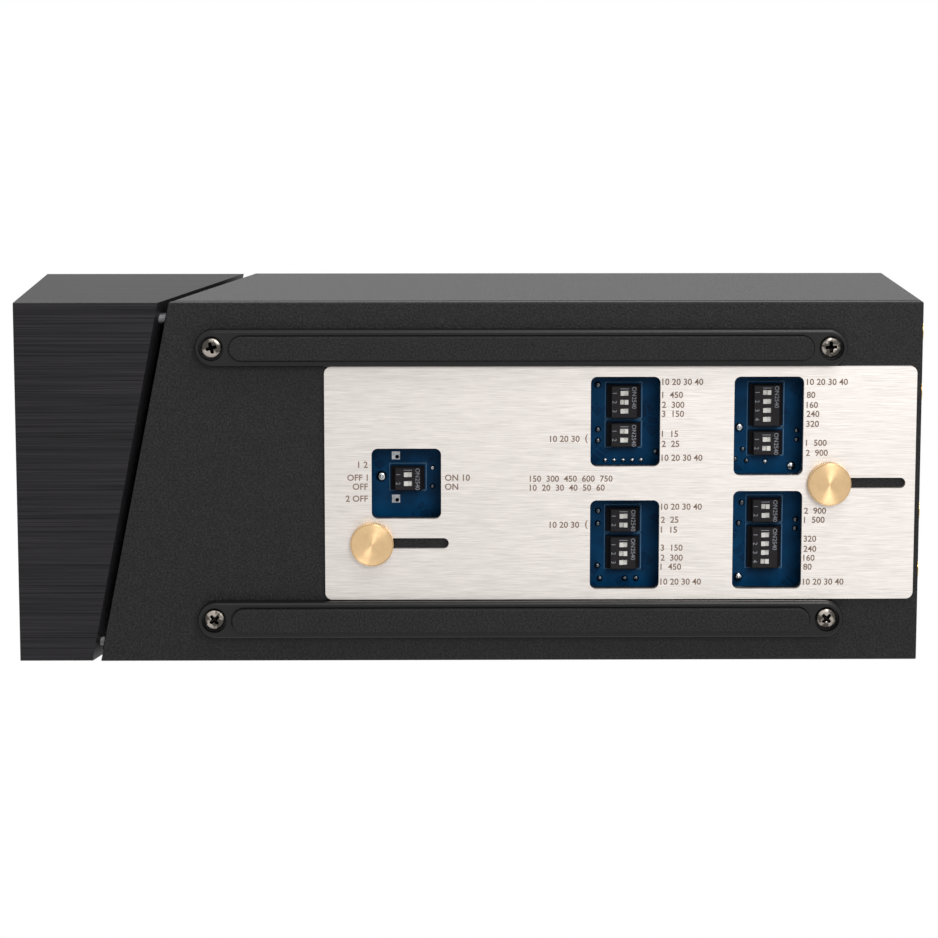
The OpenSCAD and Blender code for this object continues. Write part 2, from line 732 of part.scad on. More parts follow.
module thumbscrew(p) color("#d9b36a") in_case() translate([p[0], p[1], disc_z]) rotate([180, 0, 0]) {
    knurled_disc(thumb_d, thumb_t, knurl_count, knurl_depth, thumb_chamfer);
    translate([0, 0, disc_z + plate_gap / 2])
        cylinder(h = -disc_z - plate_gap / 2 + eps, d = slot_w - 2 * thumb_clearance);
    translate([0, 0, disc_z - panel_t - boss_h + stud_short]) cylinder(h = panel_t + boss_h, d = stud_d);
}

// ---------------------------------------------------------------- board and switches

module main_board() color("#0b2a4a") in_case() difference() {
    translate([-board_w / 2, board_y, board_z]) cube([board_w, board_l, board_t]);
    for (x = [-standoff_x, standoff_x]) for (y = standoff_ys)
        translate([x, y, board_z - 1]) cylinder(h = board_t + 2, d = screw_d + 2 * seat_gap);
    for (bank = BANKS) for (p = contact_places(bank)) blade(p, board_z - 1, board_top + 1, seat_gap);
}

module board_standoffs() color("#b9b29a") in_case() difference() {
    for (x = [-standoff_x, standoff_x]) for (y = standoff_ys)
        translate([x, y, panel_t]) cylinder(h = board_z - panel_t, d = standoff_d, $fn = 6);
    for (x = [-standoff_x, standoff_x]) for (y = standoff_ys)
        translate([x, y, panel_t + standoff_floor]) cylinder(h = board_z, d = screw_core_d);
}

// Every screw that holds the board, the rear panel and the block.
module machine_screws() color("#8c8c8e") in_case() {
    for (x = [-standoff_x, standoff_x]) for (y = standoff_ys)
        translate([x, y, board_top])
            cross_screw(screw_head_d, screw_head_h, screw_core_d, board_top - panel_t - standoff_floor - 4 * seat_gap);
    for (sx = [-1, 1]) for (z = corner_zs)
        translate([sx * corner_x, case_l - rear_t + rear_seat, z]) rotate([-90, 0, 0])
            cross_screw(screw_head_d, screw_head_h, screw_core_d, rear_seat + corner_thread);
    for (p = front_posts)
        translate([p[0], front_board_y + front_board_t, p[1]]) rotate([-90, 0, 0])
            cross_screw(screw_head_d, screw_head_h, screw_core_d, front_board_t + joint_thread - 1);
    for (p = joint_corners)
        translate([p[0], plane_y(bulkhead_y, body_skew, body_lean, p) + spot_y, p[1]]) rotate([-90, 0, 0])
            cross_screw(joint_head_d, screw_head_h, joint_core_d, spot_y + joint_gap - bulkhead_show + joint_thread);
}

module solder_joints() color("#b8bcc0") in_case()
    for (b = [0 : len(BANKS) - 1]) for (s = SOLDER[b])
        translate([BANKS[b][1] + s[1], plate_y + BANKS[b][0] + s[0], board_z]) rotate([180, 0, 0]) {
            cylinder(h = solder_h, r1 = s[2], r2 = 0.45 * s[2]);
            cylinder(h = lead_h, d = lead_d);
        }

// Right half of a housing's section, its face at z = 0: upright to the shoulder, then out to full width.
module housing_half() polygon([
    [0, housing_bevel], [switch_face_w / 2, housing_bevel], [switch_face_w / 2, housing_shoulder],
    [switch_w / 2, housing_shoulder + housing_slope], [switch_w / 2, switch_h - seat_gap], [0, switch_h - seat_gap]
]);

// Slotted housing for n levers, centred, lever face at z = 0 and body above it, its face bevelled.
module switch_housing(n) difference() {
    l = n * switch_pitch + switch_end;
    union() {
        rotate([90, 0, 90]) linear_extrude(l, center = true) {
            housing_half();
            mirror([1, 0]) housing_half();
        }
        translate([0, 0, housing_bevel + eps]) mirror([0, 0, 1])
            linear_extrude(housing_bevel + eps, scale = [1 - 2 * housing_bevel / l, 1 - 2 * housing_bevel / switch_face_w])
                square([l, switch_face_w], center = true);
    }
    for (i = [0 : n - 1]) translate([((n - 1) / 2 - i) * switch_pitch, 0, 0]) {
        slot = knob_l + lever_travel + 2 * lever_gap;
        run = slider_l + lever_travel + 2 * lever_gap;
        translate([-knob_w / 2 - lever_gap, -slot / 2, -1]) cube([knob_w + 2 * lever_gap, slot, 1 + slider_top]);
        translate([-slider_w / 2 - lever_gap, -run / 2, slider_top - lever_gap])
            cube([slider_w + 2 * lever_gap, run, slider_t + 2 * lever_gap]);
    }
}

module switch_bank(bank) color("#1a2230") in_case() difference() {
    for (housing = bank[3])
        translate([bank[1] + housing[0], bank_y(bank), switch_face]) switch_housing(len(housing[1]));
    for (p = contact_places(bank)) blade(p, contact_z - contact_gap, board_z, contact_gap);
}

// Upright blade at a contact's place from z0 to z1, with a margin m round it.
module blade(p, z0, z1, m)
    translate([p[0] - contact_w / 2 - m, p[1] - contact_t / 2 - m, z0])
        cube([contact_w + 2 * m, contact_t + 2 * m, z1 - z0]);

module switch_contacts() color("#c8a85a") in_case()
    for (bank = BANKS) for (p = contact_places(bank)) blade(p, contact_z, board_top - contact_short, 0);

module switch_lever(bank, lever) color("white") in_case()
    translate([lever[0], bank_y(bank) + (lever[1] - 0.5) * lever_travel, switch_face]) {
        translate([-slider_w / 2, -slider_l / 2, slider_top]) cube([slider_w, slider_l, slider_t]);
        translate([-knob_w / 2, -knob_l / 2, -knob_out]) cube([knob_w, knob_l, knob_out + slider_top + eps]);
    }

// ---------------------------------------------------------------- parts on top of the board

module capacitors() color("#22304a") in_case()
    for (column = [-1 : 1]) for (row = [0 : 1])
        translate([column * capacitor_step_x, plate_y + column1 + capacitor_lead + row * capacitor_step_y, board_top]) {
            cylinder(h = capacitor_h, d = capacitor_d);
            translate([0, 0, capacitor_h - eps])
                cylinder(h = capacitor_bevel, d1 = capacitor_d, d2 = capacitor_d - capacitor_bevel);
        }

module relays() color("#e4e4e0") in_case()
    for (k = [0 : 3])
        translate([(k - 1.5) * relay_step - relay_w / 2, plate_y + column3 + relay_lead, board_top])
            cube([relay_w, relay_l, relay_h]);

// ---------------------------------------------------------------- rear sockets

module rca_shells() color("#d6b15c") in_case() for (x = socket_xs) difference() {
    union() {
        rod(x, case_l, socket_z, socket_flange_d, socket_flange_t);
        rod(x, case_l + socket_flange_t - eps, socket_z, shell_d, socket_out - socket_flange_t + eps);
        rod(x, case_l - socket_in, socket_z, socket_neck_d, socket_in + eps);
        hex_nut(x, case_l - rear_t - socket_nut_t, socket_z, socket_flange_d, socket_nut_t);
    }
    rod(x, case_l - socket_in - 1, socket_z, insulator_d, socket_in + socket_out + 2);
}

module rca_insulators() color("#e8e6e2") in_case() for (x = socket_xs) difference() {
    rod(x, case_l - socket_in - insulator_step, socket_z, insulator_d - 2 * sleeve_gap,
        socket_in + insulator_step + socket_out - insulator_sink);
    rod(x, case_l - socket_in - insulator_step - 1, socket_z, contact_d, socket_in + insulator_step + socket_out + 2);
}

module rca_contacts() color("#d6b15c") in_case() for (x = socket_xs) {
    difference() {
        rod(x, case_l - socket_in - insulator_step, socket_z, contact_d - 2 * sleeve_gap,
            socket_in + insulator_step + socket_out - contact_sink);
        rod(x, case_l - socket_in, socket_z, contact_bore, socket_in + socket_out + 2);
    }
    rod(x, case_l - socket_in - socket_tail, socket_z, socket_tail_d, socket_tail - insulator_step + eps);
}

module ground_post() color("#d6b15c") in_case() {
    rod(0, case_l, socket_z, post_flange_d, post_flange_t);
    rod(0, case_l - rear_t - post_in, socket_z, post_d, rear_t + post_in + post_out);
    hex_nut(0, case_l - rear_t - post_nut_t, socket_z, post_nut_d, post_nut_t);
}

module ground_nut() color("#d6b15c") in_case() translate([0, case_l + nut_lead, socket_z]) rotate([-90, 0, 0])
    difference() {
        knurled_disc(nut_d, nut_t, nut_ridges, nut_knurl, nut_chamfer);
        translate([0, 0, -1]) cylinder(h = nut_t + 2, d = post_d + 2 * thumb_clearance);
    }

module dc_inlet() color("#1c1c1e") in_case() {
    difference() {
        union() {
            rod(0, case_l, inlet_z, inlet_neck_d + 2 * inlet_flange_rim, inlet_flange_t);
            rod(0, case_l - rear_t - inlet_in, inlet_z, inlet_neck_d, rear_t + inlet_in + eps);
            hex_nut(0, case_l - rear_t - inlet_nut_t, inlet_z, inlet_neck_d + 2 * inlet_nut_rim, inlet_nut_t);
        }
        rod(0, case_l - rear_t - inlet_in + inlet_floor, inlet_z, inlet_bore, rear_t + inlet_in + inlet_flange_t);
    }
    rod(0, case_l - rear_t - inlet_in + inlet_floor - eps, inlet_z, inlet_pin_d,
        rear_t + inlet_in - inlet_floor - inlet_pin_short);
}

// ---------------------------------------------------------------- nodes

front_block();
front_bulkhead();
joint_spacers();
bottom_panel();
top_cover();
rear_panel();
slide_plate();
thumbscrew(thumb_places[0]);  // thumbscrew_front
thumbscrew(thumb_places[1]);  // thumbscrew_rear
foot_rail(1);  // foot_rail_right
foot_rail(-1);  // foot_rail_left
foot_pad(1);  // foot_pad_right
foot_pad(-1);  // foot_pad_left
foot_screws();
main_board();
board_standoffs();
machine_screws();
solder_joints();
for (b = [0 : len(BANKS) - 1]) {
    switch_bank(BANKS[b]);
    levers = lever_list(BANKS[b]);
    for (k = [0 : len(levers) - 1])
        switch_lever(BANKS[b], levers[k]);
}
switch_contacts();
capacitors();
relays();
rca_shells();
rca_insulators();
rca_contacts();
ground_post();
ground_nut();
dc_inlet();
power_button();
power_switch();
front_board();
status_lens();
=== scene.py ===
"""Finishes, printed marks, fine parts, lights and camera for a compact phono preamp.

Lengths are metres. The case stands on its foot pads with +Z up, the front block towards -Y and the
sockets towards +Y. Its setting switches are seen from below.
"""

from __future__ import annotations

import json
import logging
import math
from dataclasses import dataclass, field
from enum import Enum
from typing import Sequence

import bpy
import numpy as np
from mathutils import Euler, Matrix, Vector

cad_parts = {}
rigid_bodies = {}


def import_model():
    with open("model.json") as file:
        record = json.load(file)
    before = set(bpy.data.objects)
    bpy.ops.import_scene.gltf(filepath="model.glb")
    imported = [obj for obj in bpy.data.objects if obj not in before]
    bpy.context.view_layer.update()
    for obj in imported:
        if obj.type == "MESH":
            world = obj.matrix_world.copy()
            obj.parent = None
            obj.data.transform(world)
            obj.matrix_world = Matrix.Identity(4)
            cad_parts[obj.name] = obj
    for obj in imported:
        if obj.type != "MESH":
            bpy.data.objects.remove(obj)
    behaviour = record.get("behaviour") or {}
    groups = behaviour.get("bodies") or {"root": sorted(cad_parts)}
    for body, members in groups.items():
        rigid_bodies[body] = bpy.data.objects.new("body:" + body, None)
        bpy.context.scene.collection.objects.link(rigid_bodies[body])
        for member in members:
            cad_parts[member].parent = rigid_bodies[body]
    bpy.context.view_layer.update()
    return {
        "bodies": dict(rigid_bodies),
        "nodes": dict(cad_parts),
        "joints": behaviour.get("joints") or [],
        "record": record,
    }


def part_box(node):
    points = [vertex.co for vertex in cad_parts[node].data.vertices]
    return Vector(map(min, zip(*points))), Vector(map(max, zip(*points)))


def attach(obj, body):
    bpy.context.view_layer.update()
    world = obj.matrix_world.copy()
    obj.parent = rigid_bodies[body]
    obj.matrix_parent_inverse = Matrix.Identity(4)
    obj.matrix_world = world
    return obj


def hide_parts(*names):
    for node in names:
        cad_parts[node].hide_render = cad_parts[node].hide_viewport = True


LOG = logging.getLogger("phono_preamp")
MM = 0.001
LIFT = 0.02 * MM  # how far print stands off its face
SAME_PLACE = 0.002 * MM  # points within this of each other are one
LETTER_STEPS = 3  # steps in each curve of a letter
QUARTER_TURN = 0.25
Colour = tuple[float, float, float]
Place = tuple[float, float, float]
Pair = tuple[float, float]
Points = np.ndarray
Solid = tuple[Points, list[list[int]]]
Socket = bpy.types.NodeSocket
Material = bpy.types.Material
Object = bpy.types.Object


# Material graphs


class Graph:
    """Node tree of one material, with short calls that add and join nodes."""

    def __init__(self, name: str) -> None:
        """Starts an empty material.

        Args:
            name: The material's name.
        """
        self.material = bpy.data.materials.new(name)
        self.material.use_nodes = True
        self.tree = self.material.node_tree
        self.tree.nodes.clear()
        self.output = self.tree.nodes.new("ShaderNodeOutputMaterial")
        self.coordinates = self.tree.nodes.new("ShaderNodeTexCoord")

    def add(self, kind: str, inputs: dict | None = None, **settings: object) -> bpy.types.Node:
        """Adds a node, sets its properties and fills or links its inputs.

        Args:
            kind: The node's type without the leading "ShaderNode".
            inputs: Input names or numbers with a value or an output socket.
            **settings: Properties of the node itself.

        Returns:
            The new node.
        """
        node = self.tree.nodes.new("ShaderNode" + kind)
        for key, value in settings.items():
            setattr(node, key, value)
        for key, value in (inputs or {}).items():
            if isinstance(value, Socket):
                self.tree.links.new(value, node.inputs[key])
            else:
                node.inputs[key].default_value = value
        return node

    def place(self, *scale: float) -> Socket:
        """Returns the object's coordinates, stretched for a pattern.

        Args:
            *scale: How many pattern units fit in a metre, once for all axes or once for each.
        """
        each = scale if len(scale) == 3 else scale * 3
        return self.add("Mapping", {"Vector": self.coordinates.outputs["Object"], "Scale": each}).outputs[0]

    def noise(self, where: Socket, detail: float = 2.0, rough: float = 0.5) -> Socket:
        """Returns a noise value between 0 and 1 over the placed coordinates."""
        inputs = {"Vector": where, "Scale": 1.0, "Detail": detail, "Roughness": rough}
        return self.add("TexNoise", inputs).outputs[0]

    def cells(self, where: Socket, uneven: float, **settings: str) -> Socket:
        """Returns the distance from the cells' points or edges over the placed coordinates."""
        inputs = {"Vector": where, "Scale": 1.0, "Randomness": uneven}
        return self.add("TexVoronoi", inputs, **settings).outputs["Distance"]

    def math(self, operation: str, *values: object) -> Socket:
        """Returns the result of a math node over values or sockets."""
        return self.add("Math", dict(enumerate(values)), operation=operation).outputs[0]

    def spread(self, value: Socket, low: float, high: float,
               start: float = 0.3, end: float = 0.7) -> Socket:
        """Maps a value from start..end to low..high and clamps it."""
        inputs = {"Value": value, "From Min": start, "From Max": end, "To Min": low, "To Max": high}
        return self.add("MapRange", inputs).outputs["Result"]

    def swing(self, value: Socket, amount: float) -> Socket:
        """Maps a value to a factor that lies up to an amount below and above 1."""
        return self.spread(value, 1 - amount, 1 + amount)

    def vary(self, value: Socket, middle: float, shares: Pair) -> Socket:
        """Maps a value to a number that lies between two shares of its middle."""
        return self.spread(value, middle * shares[0], middle * shares[1])

    def blend(self, factor: object, first: object, second: object) -> Socket:
        """Returns a mix of two colours.

        Args:
            factor: 0 for the first colour, 1 for the second, as a number or socket.
            first: Colour or socket.
            second: Colour or socket.
        """
        node = self.add("Mix", data_type="RGBA")
        for slot, value in ((0, factor), (6, first), (7, second)):
            if isinstance(value, Socket):
                self.tree.links.new(value, node.inputs[slot])
            else:
                node.inputs[slot].default_value = value if slot == 0 else rgba(value)
        return node.outputs[2]

    def shade(self, colour: Colour, factor: Socket) -> Socket:
        """Returns the colour multiplied by a factor socket."""
        return self.add("VectorMath", {0: colour, "Scale": factor}, operation="SCALE").outputs[0]

    def bump(self, height: Socket, depth: float, under: Socket | None = None) -> Socket:
        """Returns a normal bumped by a height times depth in metres, over another normal if given."""
        inputs: dict = {"Height": height, "Distance": depth, "Strength": 1.0}
        if under is not None:
            inputs["Normal"] = under
        return self.add("Bump", inputs).outputs["Normal"]

    def surface(self, **inputs: object) -> Material:
        """Ends the material in a Principled shader, its inputs named with underscores for spaces."""
        named = {key.replace("_", " "): value for key, value in inputs.items()}
        if isinstance(named.get("Base Color"), tuple):
            named["Base Color"] = rgba(named["Base Color"])
        shader = self.add("BsdfPrincipled", named)
        self.tree.links.new(shader.outputs[0], self.output.inputs["Surface"])
        return self.material


def rgba(colour: Sequence[float]) -> tuple[float, float, float, float]:
    """Returns a colour with full alpha."""
    return (colour[0], colour[1], colour[2], 1.0)


def from_hex(code: str) -> Colour:
    """Returns the linear colour of a six-digit screen colour."""
    parts = [int(code[i:i + 2], 16) / 255 for i in (0, 2, 4)]
    linear = [p / 12.92 if p <= 0.04045 else ((p + 0.055) / 1.055) ** 2.4 for p in parts]
    return (linear[0], linear[1], linear[2])


# Finishes


@dataclass(frozen=True)
class PowderCoat:
    """Fine textured black powder coat.

    Attributes:
        grain: Size of its grains, and depth their height.
        tones: Tone in the hollows and on the grains, as shares of the colour.
        peel: Swells of the orange peel to one grain.
        peel_swing: How far they swing the tone.
        peel_depth: Their height, as a share of the grains'.
        speck: Specks to one grain.
        speck_band: Noise values between which a speck comes out.
        speck_cover: How much of the coat's colour a speck hides.
    """

    name: str = "powder_coat"
    colour: Colour = (0.0108, 0.0105, 0.0110)
    roughness: float = 0.42
    specular: float = 0.19
    grain: float = 0.55 * MM
    depth: float = 0.1 * MM
    tones: Pair = (0.0, 2.3)
    peel: float = 0.22
    peel_swing: float = 0.15
    peel_depth: float = 0.6
    speck: float = 1.4
    speck_band: Pair = (0.68, 0.80)
    speck_cover: float = 0.4
    speck_colour: Colour = (0.10, 0.10, 0.10)

    def build(self) -> Material:
        """Returns the material: fine grains over a softer orange peel, with a few pale specks."""
        g = Graph(self.name)
        fine = g.noise(g.place(1 / self.grain), detail=3, rough=0.6)
        peel = g.noise(g.place(self.peel / self.grain))
        specks = g.spread(g.noise(g.place(self.speck / self.grain), detail=1), 0, 1, *self.speck_band)
        tone = g.math("MULTIPLY", g.spread(fine, *self.tones), g.swing(peel, self.peel_swing))
        cover = g.math("MULTIPLY", specks, self.speck_cover)
        colour = g.blend(cover, g.shade(self.colour, tone), self.speck_colour)
        normal = g.bump(fine, self.depth, g.bump(peel, self.peel_depth * self.depth))
        return g.surface(Base_Color=colour, Roughness=self.roughness, Specular_IOR_Level=self.specular,
                         Normal=normal)


@dataclass(frozen=True)
class BrushedMetal:
    """Brushed metal, or a dark anodised layer on it.

    The strokes are long and straight. They run along the case, or along its width on a face across it.

    Attributes:
        stroke: Width of a stroke.
        length: Its length.
        contrast: How far the strokes swing the tone.
        broad: How far the broad streaks swing it, as a share of the contrast.
        widening: Width and length of a broad streak, in those of a stroke.
        gloss: Least and greatest roughness, as shares of the roughness.
        front: Least part of the normal along the case on a face across it.
    """

    name: str
    colour: Colour
    roughness: float
    stroke: float = 0.16 * MM
    length: float = 45 * MM
    contrast: float = 0.2
    broad: float = 0.5
    depth: float = 0.004 * MM
    metallic: float = 1.0
    anisotropic: float = 0.6
    specular: float = 0.5
    widening: Pair = (7.0, 2.5)
    gloss: Pair = (0.85, 1.15)
    front: float = 0.7

    def strokes(self, g: Graph, across: Sequence[float]) -> tuple[Socket, Socket]:
        """Returns the noise of the strokes and of the broad streaks.

        Args:
            g: The material's graph.
            across: 1 for each axis that the strokes cross, 0 for the one that they follow.
        """
        width, length = self.widening[0] * self.stroke, self.widening[1] * self.length
        fine = [c / self.stroke + (1 - c) / self.length for c in across]
        broad = [c / width + (1 - c) / length for c in across]
        return g.noise(g.place(*fine), detail=3, rough=0.65), g.noise(g.place(*broad), rough=0.6)

    def build(self) -> Material:
        """Returns the material, with streaks in its tone, its gloss and its height."""
        g = Graph(self.name)
        along_fine, along_broad = self.strokes(g, (1, 0, 1))
        cross_fine, cross_broad = self.strokes(g, (0, 1, 1))
        facing = g.add("SeparateXYZ", {0: g.add("NewGeometry").outputs["Normal"]}).outputs["Y"]
        on_front = g.math("GREATER_THAN", g.math("ABSOLUTE", facing), self.front)
        fine = g.add("Mix", {0: on_front, 2: along_fine, 3: cross_fine}).outputs[0]
        broad = g.add("Mix", {0: on_front, 2: along_broad, 3: cross_broad}).outputs[0]
        tone = g.math("MULTIPLY", g.swing(fine, self.contrast), g.swing(broad, self.broad * self.contrast))
        tangent = g.add("CombineXYZ", {"Y": 1.0, "X": on_front}).outputs[0]
        return g.surface(Base_Color=g.shade(self.colour, tone), Metallic=self.metallic,
                         Roughness=g.vary(fine, self.roughness, self.gloss), Specular_IOR_Level=self.specular,
                         Anisotropic=self.anisotropic, Anisotropic_Rotation=QUARTER_TURN, Tangent=tangent,
                         Normal=g.bump(fine, self.depth))


@dataclass(frozen=True)
class TurnedMetal:
    """Metal faced on a lathe, with light fans round its own axis.

    Attributes:
        mottle: How far its stains swing the tone.
        axis: The axis that it was turned about.
        stain: Size of the stains.
    """

    name: str
    colour: Colour
    roughness: float = 0.27
    anisotropic: float = 0.85
    mottle: float = 0.08
    axis: str = "Z"
    stain: float = 2.2 * MM
    gloss: Pair = (0.9, 1.12)

    def build(self) -> Material:
        """Returns the material: its tangent runs round the axis, and soft stains vary its tone."""
        g = Graph(self.name)
        stains = g.noise(g.place(1 / self.stain), detail=4, rough=0.6)
        tangent = g.add("Tangent", direction_type="RADIAL", axis=self.axis).outputs[0]
        return g.surface(Base_Color=g.shade(self.colour, g.swing(stains, self.mottle)), Metallic=1.0,
                         Roughness=g.vary(stains, self.roughness, self.gloss), Tangent=tangent,
                         Anisotropic=self.anisotropic, Anisotropic_Rotation=QUARTER_TURN)


@dataclass(frozen=True)
class PlatedMetal:
    """Bright plated or bare metal without a grain, with stains that swing its tone."""

    name: str
    colour: Colour
    roughness: float = 0.22
    stain: float = 0.12
    dents: float = 0.01 * MM
    patch: float = 1.1 * MM
    gloss: Pair = (0.8, 1.3)

    def build(self) -> Material:
        """Returns the material, with faint stains in tone, gloss and height."""
        g = Graph(self.name)
        cloud = g.noise(g.place(1 / self.patch), detail=4, rough=0.6)
        rough = g.vary(cloud, self.roughness, self.gloss)
        return g.surface(Base_Color=g.shade(self.colour, g.swing(cloud, self.stain)), Metallic=1.0,
                         Roughness=rough, Normal=g.bump(cloud, self.dents))


@dataclass(frozen=True)
class ScrewPlatingPaintedLight:
    """Plated screw head with painted reflections in dark and bright patches, and painted shade that makes its
    recess nearly black.

    Attributes:
        patch: Size of the patches.
        painted_dark: Tone of a patch of painted dark reflection, and bright of one of painted bright
            reflection, as shares of the colour.
        dark: How much of the tone the painted shade in the recess takes away.
        patch_band: Noise values between which painted dark reflection turns to painted bright reflection.
        cloud: Size of its dents.
    """

    name: str
    colour: Colour
    roughness: float = 0.28
    patch: float = 2.9 * MM
    painted_dark: float = 0.25
    dark: float = 0.95
    bright: float = 1.4
    patch_band: Pair = (0.46, 0.56)
    cloud: float = 0.7 * MM
    dents: float = 0.006 * MM
    gloss: Pair = (0.8, 1.3)

    def build(self) -> Material:
        """Returns the material: painted shade lowers its tone with the mesh's "recess" value, 1 in the cross,
        and painted reflections swing it in patches.
        """
        g = Graph(self.name)
        patches = g.noise(g.place(1 / self.patch), detail=3)
        cloud = g.noise(g.place(1 / self.cloud), detail=3)
        recess = g.add("Attribute", attribute_name="recess").outputs["Fac"]
        # Painted reflections in patches, times painted shade that darkens the recess.
        tone = g.math("MULTIPLY", g.spread(patches, self.painted_dark, self.bright, *self.patch_band),
                      g.spread(recess, 1, 1 - self.dark, 0, 1))
        rough = g.vary(cloud, self.roughness, self.gloss)
        return g.surface(Base_Color=g.shade(self.colour, tone), Metallic=1.0, Roughness=rough,
                         Normal=g.bump(cloud, self.dents))


@dataclass(frozen=True)
class Moulded:
    """Moulded plastic, rubber or ink with a fine grain.

    Attributes:
        vary: How far its grains swing the tone.
        cloud: Broad clouds to one grain.
        cloud_vary: How far the clouds swing the tone.
    """

    name: str
    colour: Colour
    roughness: float = 0.45
    specular: float = 0.3
    grain: float = 0.25 * MM
    depth: float = 0.012 * MM
    vary: float = 0.15
    cloud: float = 0.06
    cloud_vary: float = 0.06

    def build(self) -> Material:
        """Returns the material, with its grain in tone and height."""
        g = Graph(self.name)
        fine = g.noise(g.place(1 / self.grain), detail=3, rough=0.6)
        cloud = g.noise(g.place(self.cloud / self.grain))
        tone = g.math("MULTIPLY", g.swing(fine, self.vary), g.swing(cloud, self.cloud_vary))
        return g.surface(Base_Color=g.shade(self.colour, tone), Roughness=self.roughness,
                         Specular_IOR_Level=self.specular, Normal=g.bump(fine, self.depth))


@dataclass(frozen=True)
class SolderMask:
    """Blue solder mask with copper tracks showing faintly under it.

    Attributes:
        pitch: Size of the cells whose edges are the tracks.
        uneven: How irregular those cells are, from 0 to 1.
        line: Half width of a track, as a share of a cell.
        pour: Poured areas to one cell.
        pour_edge: Distances from their points between which they begin.
        cloud: Size of the mask's soft clouds.
    """

    name: str = "solder_mask"
    colour: Colour = (0.0007, 0.027, 0.080)
    roughness: float = 0.34
    specular: float = 0.07
    track: Colour = (0.001, 0.042, 0.116)
    pitch: float = 3.1 * MM
    uneven: float = 0.85
    line: float = 0.07
    pour: float = 0.35
    pour_uneven: float = 0.9
    pour_edge: Pair = (0.42, 0.44)
    depth: float = 0.03 * MM
    cloud: float = 6 * MM
    vary: float = 0.25

    def build(self) -> Material:
        """Returns the material: square-cornered tracks from cells, and poured areas."""
        g = Graph(self.name)
        edges = g.cells(g.place(1 / self.pitch), self.uneven, distance="CHEBYCHEV",
                        feature="DISTANCE_TO_EDGE")
        pour = g.cells(g.place(self.pour / self.pitch), self.pour_uneven, distance="MANHATTAN")
        line = g.math("LESS_THAN", edges, self.line)
        copper = g.math("MAXIMUM", line, g.spread(pour, 0, 1, *self.pour_edge))
        tone = g.swing(g.noise(g.place(1 / self.cloud)), self.vary)
        colour = g.blend(copper, g.shade(self.colour, tone), g.shade(self.track, tone))
        return g.surface(Base_Color=colour, Roughness=self.roughness, Specular_IOR_Level=self.specular,
                         Normal=g.bump(copper, self.depth))


@dataclass(frozen=True)
class Lens:
    """Clear moulded plastic, with clouds of the haze's size in its gloss."""

    name: str = "lens_clear"
    colour: Colour = (0.82, 0.88, 0.95)
    haze: float = 1.2 * MM
    roughness: Pair = (0.10, 0.2)
    clear: float = 0.6
    ior: float = 1.49

    def build(self) -> Material:
        """Returns the material: clear, with a faint haze in its gloss."""
        g = Graph(self.name)
        haze = g.spread(g.noise(g.place(1 / self.haze)), *self.roughness)
        return g.surface(Base_Color=self.colour, Roughness=haze, Transmission_Weight=self.clear, IOR=self.ior)


@dataclass(frozen=True)
class ChannelColour:
    """White moulding for one channel and red for the other, as phono sockets are marked.

    Attributes:
        outer: Distance from the middle past which a socket is the outer one of its pair.
    """

    name: str = "channel_insulator"
    left: Colour = (0.78, 0.77, 0.74)
    right: Colour = (0.50, 0.012, 0.012)
    roughness: float = 0.38
    specular: float = 0.4
    outer: float = 27 * MM
    grain: float = 0.4 * MM
    depth: float = 0.006 * MM

    def build(self) -> Material:
        """Returns the material: the colour changes between the two sockets of each pair."""
        g = Graph(self.name)
        across = g.add("SeparateXYZ", {0: g.coordinates.outputs["Object"]}).outputs["X"]
        pair = g.math("GREATER_THAN", g.math("ABSOLUTE", across), self.outer)
        side = g.math("GREATER_THAN", across, 0.0)
        right = g.math("ABSOLUTE", g.math("SUBTRACT", side, g.math("SUBTRACT", 1.0, pair)))
        fine = g.noise(g.place(1 / self.grain))
        return g.surface(Base_Color=g.blend(right, self.left, self.right), Roughness=self.roughness,
                         Specular_IOR_Level=self.specular, Normal=g.bump(fine, self.depth))


